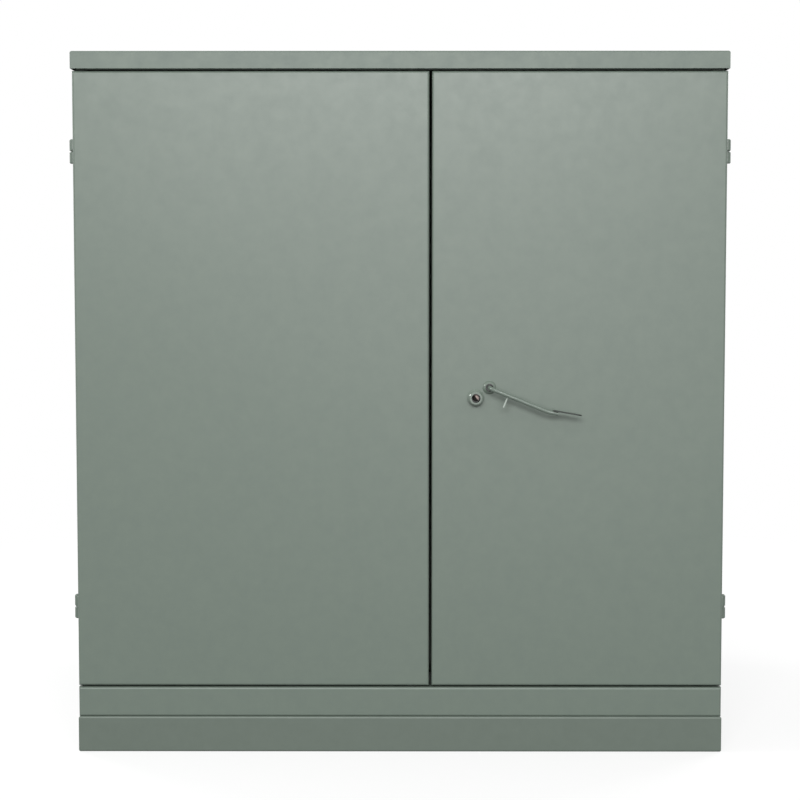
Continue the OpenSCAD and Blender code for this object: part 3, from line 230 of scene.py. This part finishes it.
# Varnish over the copper wire gives a warm brown shine, ridged by the turns.
wire, wire_ridge = 4 * millimetre, 1 * millimetre
varnished_copper, shader = new_material("varnished_copper", Metallic=0.9, Roughness=0.35, Coat_Weight=0.6)
place = add_node(varnished_copper, "ShaderNodeTexCoord", {}, {}).outputs["Object"]
winding = add_node(varnished_copper, "ShaderNodeTexWave",
                   {"wave_type": "BANDS", "bands_direction": "Z", "Scale": 1 / (bands_per_scale * wire)},
                   {"Vector": place})
tone = add_node(varnished_copper, "ShaderNodeMixRGB",
                {"Color1": linear("#7A4A2C"), "Color2": linear("#B87B52")},
                {"Fac": winding.outputs["Fac"]})
turns = add_node(varnished_copper, "ShaderNodeBump", {"Strength": 0.6, "Distance": wire_ridge},
                 {"Height": winding.outputs["Fac"]})
link(varnished_copper, tone.outputs["Color"], shader, "Base Color")
link(varnished_copper, turns.outputs["Normal"], shader, "Normal")
dress(varnished_copper, "coil_1", "coil_2", "coil_3")


# Cabinet.
# Side panels, sill and lid folded from 2.5 mm sheet, with a header behind the door tops and a
# barrier between the two compartments. Header and barrier have the same colour with less gloss.

dress(cabinet_coat, "left_side_panel", "right_side_panel", "front_sill")
dress(inner_coat, "door_header", "compartment_barrier")

# Sun and rain have dulled the coat of the lid, so it shows less sheen than the doors under it.
dress(coat("weathered_polyester_coat", coat_pale, "#66726A", 0.48), "roof_lid")


# High-voltage bushings.
# Moulded black rubber cones that take a cable elbow, clamped to the tank front by their flange.
# The rubber is almost black, with patches of dull bloom.

bloom_patch = 30 * millimetre
moulded_rubber, shader = new_material("moulded_black_rubber", Base_Color=linear("#1F2022"))
place = add_node(moulded_rubber, "ShaderNodeTexCoord", {}, {}).outputs["Object"]
bloom = add_node(moulded_rubber, "ShaderNodeTexNoise", {"Scale": 1 / bloom_patch, "Detail": 4.0},
                 {"Vector": place})
gloss = add_node(moulded_rubber, "ShaderNodeMapRange", {"To Min": 0.4, "To Max": 0.62},
                 {"Value": bloom.outputs["Fac"]})
link(moulded_rubber, gloss.outputs["Result"], shader, "Roughness")
dress(moulded_rubber, "hv_bushing_1", "hv_bushing_2", "hv_bushing_3")


# Fuse housings and holders.
# Moulded dark resin wells through the tank front; each holder pulls out by the ring on its cap.
# The resin is dark grey and half dull, with faint flow marks from the mould.

flow_mark = 18 * millimetre
moulded_resin, shader = new_material("moulded_grey_resin", Roughness=0.5)
place = add_node(moulded_resin, "ShaderNodeTexCoord", {}, {}).outputs["Object"]
flow = add_node(moulded_resin, "ShaderNodeTexNoise", {"Scale": 1 / flow_mark, "Detail": 3.0},
                {"Vector": place})
tone = add_node(moulded_resin, "ShaderNodeMixRGB", {"Color1": linear("#3A3B3E"), "Color2": linear("#47484B")},
                {"Fac": flow.outputs["Fac"]})
link(moulded_resin, tone.outputs["Color"], shader, "Base Color")
dress(moulded_resin, "fuse_housings", "fuse_holder_1", "fuse_holder_2", "fuse_holder_3")


# Switch and tap changer.
# Sand-cast aluminium handles on spindles, each in a cast bearing boss.
# The sand leaves a grey, slightly grainy skin that spreads the light.

sand_grit, sand_depth = 1.6 * millimetre, 0.25 * millimetre
cast_aluminium, shader = new_material("cast_aluminium", Base_Color=linear("#97989A"), Metallic=1.0,
                                      Roughness=0.48)
place = add_node(cast_aluminium, "ShaderNodeTexCoord", {}, {}).outputs["Object"]
sand = add_node(cast_aluminium, "ShaderNodeTexNoise", {"Scale": 1 / sand_grit, "Detail": 3.0},
                {"Vector": place})
pits = add_node(cast_aluminium, "ShaderNodeBump", {"Strength": 0.5, "Distance": sand_depth},
                {"Height": sand.outputs["Fac"]})
link(cast_aluminium, pits.outputs["Normal"], shader, "Normal")
dress(cast_aluminium, "switch_boss", "switch_handle", "tap_boss", "tap_handle")


# Low-voltage terminals.
# Brown glazed insulators with three sheds, and tinned copper blades on studs that pass through them.
# The glaze pools in darker and lighter browns under a hard, clear shine.

glaze_pool = 25 * millimetre
brown_glaze, shader = new_material("brown_glaze", Roughness=0.2, Coat_Weight=0.7, Coat_Roughness=0.06)
place = add_node(brown_glaze, "ShaderNodeTexCoord", {}, {}).outputs["Object"]
pool = add_node(brown_glaze, "ShaderNodeTexNoise", {"Scale": 1 / glaze_pool, "Detail": 3.0},
                {"Vector": place})
tone = add_node(brown_glaze, "ShaderNodeMixRGB", {"Color1": linear("#4A2A1A"), "Color2": linear("#6A3D26")},
                {"Fac": pool.outputs["Fac"]})
link(brown_glaze, tone.outputs["Color"], shader, "Base Color")
dress(brown_glaze, "lv_insulators")

# Tin wiped along the blade leaves a warm silver with long streaks.
streak_across, streak_along = 1.1 * millimetre, 25 * millimetre
tinned_copper, shader = new_material("tinned_copper", Base_Color=linear("#C9C5BE"), Metallic=1.0)
place = add_node(tinned_copper, "ShaderNodeTexCoord", {}, {}).outputs["Object"]
stretch = add_node(tinned_copper, "ShaderNodeMapping",
                   {"Scale": (1 / streak_across, 1 / streak_along, 1 / streak_across)},
                   {"Vector": place})
streak = add_node(tinned_copper, "ShaderNodeTexNoise", {"Scale": 1.0, "Detail": 3.0},
                  {"Vector": stretch.outputs["Vector"]})
gloss = add_node(tinned_copper, "ShaderNodeMapRange", {"To Min": 0.22, "To Max": 0.42},
                 {"Value": streak.outputs["Fac"]})
link(tinned_copper, gloss.outputs["Result"], shader, "Roughness")
dress(tinned_copper, "lv_blade_1", "lv_blade_2", "lv_blade_3", "lv_blade_4")


# Flange nuts.
# Four zinc-plated nuts on studs hold each flange to the tank front.
# They are plain hexagons with chamfered faces, smaller on the insulators of the terminals.

bushing_flange_t = 12 * millimetre
flange_t = 10 * millimetre
bushing_circle_r = 45 * millimetre
boss_circle_r = 31 * millimetre
fuse_circle_r = 37 * millimetre
terminal_circle_r = 45.5 * millimetre
nut_across, nut_height, stud_out = 10 * millimetre, 6 * millimetre, 4 * millimetre
small_across, small_height, small_stud_out = 9 * millimetre, 4.5 * millimetre, 0.5 * millimetre
nut_chamfer = 0.6 * millimetre
stud_share = 0.3
stud_sides = 16
level_edge = 0.001 * millimetre
plate_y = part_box("tank_front")[0].y


def is_rim(edge):
    return abs(edge.verts[0].co.y - edge.verts[1].co.y) < level_edge


def flange_nuts(mesh, node, flange, circle_r, across, height, stud):
    low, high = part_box(node)
    centre = Vector(((low.x + high.x) / 2, plate_y - flange, (low.z + high.z) / 2))
    upright = Matrix.Rotation(math.radians(90), 4, "X")
    for quarter in range(4):
        angle = math.radians(45 + 90 * quarter)
        at = centre + Vector((circle_r * math.cos(angle), 0, circle_r * math.sin(angle)))
        made = bmesh.ops.create_cone(mesh, cap_ends=True, segments=6, radius1=across / math.sqrt(3),
                                     radius2=across / math.sqrt(3), depth=height,
                                     matrix=Matrix.Translation(at - Vector((0, height / 2, 0))) @ upright)
        rims = {edge for vert in made["verts"] for edge in vert.link_edges if is_rim(edge)}
        bmesh.ops.bevel(mesh, geom=list(rims), offset=nut_chamfer, affect="EDGES", segments=2,
                        profile=0.5, material=-1)
        round_bar(mesh, at, at - Vector((0, height + stud, 0)), across * stud_share, stud_sides)


nuts = bmesh.new()
for name in ("hv_bushing_1", "hv_bushing_2", "hv_bushing_3"):
    flange_nuts(nuts, name, bushing_flange_t, bushing_circle_r, nut_across, nut_height, stud_out)
for name in ("switch_boss", "tap_boss"):
    flange_nuts(nuts, name, flange_t, boss_circle_r, nut_across, nut_height, stud_out)
for name in ("fuse_holder_1", "fuse_holder_2", "fuse_holder_3"):
    flange_nuts(nuts, name, flange_t, fuse_circle_r, nut_across, nut_height, stud_out)
for name in ("lv_blade_1", "lv_blade_2", "lv_blade_3", "lv_blade_4"):
    flange_nuts(nuts, name, flange_t, terminal_circle_r, small_across, small_height, small_stud_out)
new_piece("flange_nuts", nuts, zinc_plate, "enclosure")


# Earthing pads.
# Stainless blocks welded to the tank front, milled flat, each with a tapped hole.
# The cutter leaves rings that catch the light, drawn coarser than they are so that they show.

cutter_ring = 2.5 * millimetre
milled_stainless, shader = new_material("milled_stainless", Base_Color=linear("#BDBCB9"), Metallic=1.0)
place = add_node(milled_stainless, "ShaderNodeTexCoord", {}, {}).outputs["Object"]
cutter = add_node(milled_stainless, "ShaderNodeTexWave",
                  {"wave_type": "RINGS", "rings_direction": "Y",
                   "Scale": 1 / (bands_per_scale * cutter_ring)},
                  {"Vector": place})
gloss = add_node(milled_stainless, "ShaderNodeMapRange", {"To Min": 0.25, "To Max": 0.4},
                 {"Value": cutter.outputs["Fac"]})
link(milled_stainless, gloss.outputs["Result"], shader, "Roughness")
dress(milled_stainless, "ground_pads")


# Gauges.
# Level gauge and thermometer: black cast cases with a glass pressed in, a white dial with printed
# marks and a red needle on a spindle.

# Black stove paint on the cast cases: nearly black, with a fine leathery grain in its gloss.
case_grain = 2 * millimetre
black_case, shader = new_material("black_gauge_case", Base_Color=linear("#1C1C1D"))
place = add_node(black_case, "ShaderNodeTexCoord", {}, {}).outputs["Object"]
leather = add_node(black_case, "ShaderNodeTexNoise", {"Scale": 1 / case_grain, "Detail": 2.0},
                   {"Vector": place})
gloss = add_node(black_case, "ShaderNodeMapRange", {"To Min": 0.38, "To Max": 0.5},
                 {"Value": leather.outputs["Fac"]})
link(black_case, gloss.outputs["Result"], shader, "Roughness")
dress(black_case, "level_gauge", "thermometer")

# Red enamel on the needles, a little faded in places.
fade_patch = 10 * millimetre
red_needle, shader = new_material("red_needle_paint", Roughness=0.4)
place = add_node(red_needle, "ShaderNodeTexCoord", {}, {}).outputs["Object"]
fade = add_node(red_needle, "ShaderNodeTexNoise", {"Scale": 1 / fade_patch}, {"Vector": place})
tone = add_node(red_needle, "ShaderNodeMixRGB", {"Color1": linear("#B3231B"), "Color2": linear("#C22D22")},
                {"Fac": fade.outputs["Fac"]})
link(red_needle, tone.outputs["Color"], shader, "Base Color")
dress(red_needle, "level_needle", "temperature_needle")

# Clear window glass, polished, with a trace of green.
gauge_glass = new_material("gauge_glass", Base_Color=linear("#F4F8F7"), Roughness=0.02, IOR=1.5,
                           Transmission_Weight=1.0)[0]
dress(gauge_glass, "gauge_lenses")

# Enamelled tin dials: white, slightly yellowed, with black printed strokes.
dial_r = 37.5 * millimetre
dial_hole_r = 3 * millimetre
dial_t = 0.5 * millimetre
dial_gap = 1.2 * millimetre
mark_t = 0.15 * millimetre
mark_inset = 3 * millimetre
long_mark, short_mark = (1.1 * millimetre, 7 * millimetre), (0.6 * millimetre, 4 * millimetre)
marks_per_long = 5
yellow_patch = 20 * millimetre
dial_white, shader = new_material("white_dial_enamel", Roughness=0.45)
place = add_node(dial_white, "ShaderNodeTexCoord", {}, {}).outputs["Object"]
age = add_node(dial_white, "ShaderNodeTexNoise", {"Scale": 1 / yellow_patch}, {"Vector": place})
tone = add_node(dial_white, "ShaderNodeMixRGB", {"Color1": linear("#E9E8E2"), "Color2": linear("#F2F1EC")},
                {"Fac": age.outputs["Fac"]})
link(dial_white, tone.outputs["Color"], shader, "Base Color")
dial_black = new_material("black_dial_print", Base_Color=linear("#1A1A1A"), Roughness=0.6)[0]


def dial(name, case, needle, limit, steps):
    low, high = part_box(case)
    face_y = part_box(needle)[1].y + dial_gap
    centre = Vector(((low.x + high.x) / 2, face_y, (low.z + high.z) / 2))
    upright = Matrix.Translation(centre) @ Matrix.Rotation(math.radians(90), 4, "X")
    face = bmesh.new()
    rims = [bmesh.ops.create_circle(face, segments=64, radius=r, matrix=upright)["verts"]
            for r in (dial_hole_r, dial_r)]
    edges = {e for rim in rims for v in rim for e in v.link_edges}
    bmesh.ops.bridge_loops(face, edges=list(edges))
    raised = bmesh.ops.extrude_face_region(face, geom=face.faces[:])["geom"]
    raised_verts = [g for g in raised if isinstance(g, bmesh.types.BMVert)]
    bmesh.ops.translate(face, verts=raised_verts, vec=(0, -dial_t, 0))
    new_piece(name, face, dial_white, "enclosure")
    marks = bmesh.new()
    on_face = Matrix.Translation(centre - Vector((0, dial_t + mark_t / 2, 0)))
    for step in range(steps + 1):
        angle = math.radians(-limit + 2 * limit * step / steps)
        width, length = short_mark if step % marks_per_long else long_mark
        out = Matrix.Translation((0, 0, dial_r - mark_inset - length / 2))
        stroke = out @ Matrix.Diagonal((width, mark_t, length, 1))
        bmesh.ops.create_cube(marks, size=1.0, matrix=on_face @ Matrix.Rotation(angle, 4, "Y") @ stroke)
    new_piece(name + "_marks", marks, dial_black, "enclosure")


dial("level_dial", "level_gauge", "level_needle", 60, 20)
dial("temperature_dial", "thermometer", "temperature_needle", 130, 40)


# Valves.
# Relief valve and drain valve, turned from brass and screwed into the tank front.
# The lathe leaves fine tool rings, drawn coarser than they are so that they show.

tool_ring = 1.56 * millimetre
turned_brass, shader = new_material("turned_brass", Base_Color=linear("#B99A5B"), Metallic=1.0)
place = add_node(turned_brass, "ShaderNodeTexCoord", {}, {}).outputs["Object"]
lathe = add_node(turned_brass, "ShaderNodeTexWave",
                 {"wave_type": "BANDS", "bands_direction": "Y", "Scale": 1 / (bands_per_scale * tool_ring)},
                 {"Vector": place})
gloss = add_node(turned_brass, "ShaderNodeMapRange", {"To Min": 0.24, "To Max": 0.36},
                 {"Value": lathe.outputs["Fac"]})
link(turned_brass, gloss.outputs["Result"], shader, "Roughness")
dress(turned_brass, "relief_valve", "drain_valve")


# Hinges.
# Turned steel knuckles on pins, welded to the side panels and the doors by their leaves.
# They are coated together with the sheet that they stand on.

dress(cabinet_coat, "frame_hinges", "hv_door_hinges", "lv_door_hinges")


# Doors.
# Folded pans of 2.5 mm sheet, stiffened inside by hat sections that are spot welded.
# The pans have the satin coat of the cabinet on both sides, the stiffeners the flatter one.

dress(cabinet_coat, "hv_door", "lv_door")
dress(inner_coat, "hv_stiffeners", "lv_stiffeners")


# Latch.
# A bent steel rod with a tab and a dark padlock blade turns a cam behind the door, which drives
# two flat rods; boss, collar and handle are coated, the pieces inside are zinc plated.

dress(zinc_plate, "latch_cam", "upper_rod", "lower_rod", "rod_guides")


# Coat round a bore: glossy outside and a little paler than the cabinet's coat, as painted light on the ring;
# near-black inside the bore, as painted shade in the recess.
bore_shade_edge = 0.3 * millimetre


def shaded_bore_coat(name, centre, bore_r):
    # Painted light: this coat is a little paler than the cabinet's, to brighten the rings of boss and collar.
    material = coat(name, "#6F7B71", "#6B776D", 0.22)
    shader = material.node_tree.nodes["Principled BSDF"]
    paint = shader.inputs["Base Color"].links[0].from_socket
    place = add_node(material, "ShaderNodeTexCoord", {}, {}).outputs["Object"]
    flat = add_node(material, "ShaderNodeVectorMath", {"operation": "MULTIPLY", 1: (1.0, 0.0, 1.0)},
                    {0: place})
    reach = add_node(material, "ShaderNodeVectorMath",
                     {"operation": "DISTANCE", 1: (centre.x, 0.0, centre.z)}, {0: flat.outputs["Vector"]})
    inside = add_node(material, "ShaderNodeMapRange",
                      {"From Min": bore_r, "From Max": bore_r + bore_shade_edge,
                       "To Min": 1.0, "To Max": 0.0}, {"Value": reach.outputs["Value"]})
    # Painted shade: inside the bore the coat is coloured near-black, for the dark recess round the shaft.
    colour = add_node(material, "ShaderNodeMixRGB", {"Color2": linear("#121312")},
                      {"Fac": inside.outputs["Result"], "Color1": paint})
    link(material, colour.outputs["Color"], shader, "Base Color")
    return material


boss_mouth_r = 8.8 * millimetre
collar_bore_r = 10.1 * millimetre
boss_low, boss_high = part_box("handle_boss")
boss_mid = (boss_low + boss_high) / 2
dress(shaded_bore_coat("coat_round_shaft", boss_mid, boss_mouth_r), "handle_boss")
collar_low, collar_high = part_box("lock_collar")
dress(shaded_bore_coat("coat_round_lock", (collar_low + collar_high) / 2, collar_bore_r), "lock_collar")

# The handle's coat is polished by hands, so its streak of light is narrower and brighter.
# The tab under the rod is coloured paler than the rest of the handle.
handle_coat = coat("hand_polished_coat", coat_pale, coat_deep, 0.22)
shader = handle_coat.node_tree.nodes["Principled BSDF"]
paint = shader.inputs["Base Color"].links[0].from_socket
droop = math.radians(22)
pale_start, pale_full = 6 * millimetre, 10 * millimetre
place = add_node(handle_coat, "ShaderNodeTexCoord", {}, {}).outputs["Object"]
offset = add_node(handle_coat, "ShaderNodeVectorMath", {"operation": "SUBTRACT", 1: boss_mid}, {0: place})
under = add_node(handle_coat, "ShaderNodeVectorMath",
                 {"operation": "DOT_PRODUCT", 1: (-math.sin(droop), 0.0, -math.cos(droop))},
                 {0: offset.outputs["Vector"]})
pale_share = add_node(handle_coat, "ShaderNodeMapRange", {"From Min": pale_start, "From Max": pale_full},
                  {"Value": under.outputs["Value"]})
colour = add_node(handle_coat, "ShaderNodeMixRGB", {"Color2": linear("#9AA59C")},
                  {"Fac": pale_share.outputs["Result"], "Color1": paint})
link(handle_coat, colour.outputs["Color"], shader, "Base Color")
dress(handle_coat, "latch_handle")

# The blade is coloured a dark grey-green in patches, with little shine.
blade_patch = 6 * millimetre
dark_blade, shader = new_material("dark_blade_steel", Metallic=0.2, Roughness=0.55)
place = add_node(dark_blade, "ShaderNodeTexCoord", {}, {}).outputs["Object"]
blade_mottle = add_node(dark_blade, "ShaderNodeTexNoise", {"Scale": 1 / blade_patch, "Detail": 4.0},
                 {"Vector": place})
tone = add_node(dark_blade, "ShaderNodeMixRGB", {"Color1": linear("#262B27"), "Color2": linear("#343A35")},
                {"Fac": blade_mottle.outputs["Fac"]})
link(dark_blade, tone.outputs["Color"], shader, "Base Color")
dress(dark_blade, "padlock_blade")

# The locking bolt is bare steel, tarnished in patches; all but its upper right side is painted near-black, as
# painted shade in the recess of the collar.
tarnish_patch = 5 * millimetre
lit_side_start, lit_side_full = 0.5 * millimetre, 2 * millimetre
bolt_low, bolt_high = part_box("lock_bolt")
bolt_mid = (bolt_low + bolt_high) / 2
bare_bolt, shader = new_material("bare_bolt_steel", Metallic=1.0, Roughness=0.5)
place = add_node(bare_bolt, "ShaderNodeTexCoord", {}, {}).outputs["Object"]
tarnish = add_node(bare_bolt, "ShaderNodeTexNoise", {"Scale": 1 / tarnish_patch, "Detail": 4.0},
                   {"Vector": place})
tone = add_node(bare_bolt, "ShaderNodeMixRGB", {"Color1": linear("#7A6F6C"), "Color2": linear("#94867F")},
                {"Fac": tarnish.outputs["Fac"]})
side = add_node(bare_bolt, "ShaderNodeVectorMath", {"operation": "SUBTRACT", 1: bolt_mid}, {0: place})
height = add_node(bare_bolt, "ShaderNodeVectorMath", {"operation": "DOT_PRODUCT", 1: (0.8, 0.0, 0.6)},
                  {0: side.outputs["Vector"]})
pale_share = add_node(bare_bolt, "ShaderNodeMapRange", {"From Min": lit_side_start, "From Max": lit_side_full},
                  {"Value": height.outputs["Value"]})
# Painted shade: all of the bolt but its upper right side is coloured near-black.
shaded_bolt_colour = add_node(bare_bolt, "ShaderNodeMixRGB", {"Color1": linear("#1C1A19")},
                   {"Fac": pale_share.outputs["Result"], "Color2": tone.outputs["Color"]})
link(bare_bolt, shaded_bolt_colour.outputs["Color"], shader, "Base Color")
dress(bare_bolt, "lock_bolt")


# Hand bolts.
# Two zinc-plated round bolts hold the high-voltage door from inside.
# Each slides by hand in a pair of guides that are welded to the door.

dress(zinc_plate, "hv_bolt_guides", "hv_upper_bolt", "hv_lower_bolt")


# Floor.
# A plain pale studio floor, white to the camera, that keeps a soft shadow close to the object.
# It is grey to the object itself, so that it doesn't light it from below.

shadow_share = 0.3
floor_half = 40
shadow_near, shadow_far = 1.4, 3.2
floor_mesh = bmesh.new()
bmesh.ops.create_grid(floor_mesh, x_segments=1, y_segments=1, size=floor_half)
floor_data = bpy.data.meshes.new("floor")
floor_mesh.to_mesh(floor_data)
floor_mesh.free()
floor = bpy.data.objects.new("floor", floor_data)
bpy.context.scene.collection.objects.link(floor)
floor_white, shader = new_material("studio_floor", Roughness=1.0)
shader.inputs["Specular IOR Level"].default_value = 0.0
seen = add_node(floor_white, "ShaderNodeLightPath", {}, {}).outputs
pale = add_node(floor_white, "ShaderNodeMixRGB", {"Color1": linear("#555555"), "Color2": linear("#FFFFFF")},
                {"Fac": seen["Is Camera Ray"]})
link(floor_white, pale.outputs["Color"], shader, "Base Color")
place = add_node(floor_white, "ShaderNodeTexCoord", {}, {}).outputs["Object"]
away = add_node(floor_white, "ShaderNodeVectorMath", {"operation": "LENGTH"}, {0: place})
plain = add_node(floor_white, "ShaderNodeMapRange",
                 {"From Min": shadow_near, "From Max": shadow_far, "To Min": 1 - shadow_share, "To Max": 1.0},
                 {"Value": away.outputs["Value"]})
direct = add_node(floor_white, "ShaderNodeMath", {"operation": "MAXIMUM"},
                  {0: seen["Is Camera Ray"], 1: seen["Is Glossy Ray"]})
either = add_node(floor_white, "ShaderNodeMath", {"operation": "MAXIMUM"},
                  {0: direct.outputs["Value"], 1: seen["Is Transmission Ray"]})
share = add_node(floor_white, "ShaderNodeMath", {"operation": "MULTIPLY"},
                 {0: either.outputs["Value"], 1: plain.outputs["Result"]})
white = add_node(floor_white, "ShaderNodeEmission", {"Strength": 1.0}, {})
mixed = add_node(floor_white, "ShaderNodeMixShader", {},
                 {0: share.outputs["Value"], 1: shader.outputs["BSDF"], 2: white.outputs["Emission"]})
link(floor_white, mixed.outputs["Shader"], floor_white.node_tree.nodes["Material Output"], "Surface")
floor_data.materials.append(floor_white)


# Light.
# A wide soft light high in front, whose blurred reflection brightens the upper part of the doors,
# a weak low one, a small one at the left that gives boss and collar a bright edge, two behind, and
# an even white surround.

def soft_light(name, at, towards, width, height, watts):
    lamp = bpy.data.lights.new(name, "AREA")
    lamp.shape = "RECTANGLE"
    lamp.size, lamp.size_y = width, height
    lamp.energy = watts
    holder = bpy.data.objects.new(name, lamp)
    holder.location = at
    holder.rotation_euler = (Vector(towards) - Vector(at)).to_track_quat("-Z", "Y").to_euler()
    holder.visible_camera = False
    bpy.context.scene.collection.objects.link(holder)


soft_light("front_light", (-0.1, -7.6, 3.3), (0.0, -0.6, 1.0), 4.6, 1.6, 364)
soft_light("low_light", (0.8, -6.5, 0.7), (0.0, -0.6, 0.6), 3.0, 0.8, 26)
soft_light("left_light", (-3.2, -0.95, 2.6), (0.2, -0.6, 0.85), 0.6, 0.6, 30)
soft_light("left_rear_light", (-4.5, 4.0, 3.6), (0.0, 0.3, 0.8), 2.4, 2.4, 120)
soft_light("right_rear_light", (4.5, 4.0, 3.6), (0.0, 0.3, 0.8), 2.4, 2.4, 120)

surround_level = 0.7
world = bpy.data.worlds.new("studio")
bpy.context.scene.world = world
world.use_nodes = True
surround = world.node_tree.nodes["Background"]
surround.inputs["Color"].default_value = linear("#FFFFFF")
seen = add_node(world, "ShaderNodeLightPath", {}, {}).outputs
direct = add_node(world, "ShaderNodeMath", {"operation": "MAXIMUM"},
                  {0: seen["Is Camera Ray"], 1: seen["Is Glossy Ray"]})
either = add_node(world, "ShaderNodeMath", {"operation": "MAXIMUM"},
                  {0: direct.outputs["Value"], 1: seen["Is Transmission Ray"]})
level = add_node(world, "ShaderNodeMapRange", {"To Min": surround_level, "To Max": 1.0},
                 {"Value": either.outputs["Value"]})
link(world, level.outputs["Result"], surround, "Strength")


# Camera.
# It stands four metres in front of the doors, a little above the handle, and looks slightly down.

handle_reach = 50 * millimetre
camera_away = 4.0
camera_side, camera_up = 0.0134, 1.0833
camera_at = Vector((camera_side, cad_low.y + handle_reach - camera_away, camera_up))
pitch_down = math.radians(3.695)
turn_left = math.radians(0.188)
focal_px = 1735.2
image_px = 800
lens = bpy.data.cameras.new("photo_camera")
lens.sensor_width = 36
lens.lens = focal_px / image_px * lens.sensor_width
camera = bpy.data.objects.new("photo_camera", lens)
camera.location = camera_at
camera.rotation_euler = (math.radians(90) - pitch_down, 0, turn_left)
bpy.context.scene.collection.objects.link(camera)
bpy.context.scene.camera = camera
bpy.context.scene.view_settings.view_transform = "Standard"
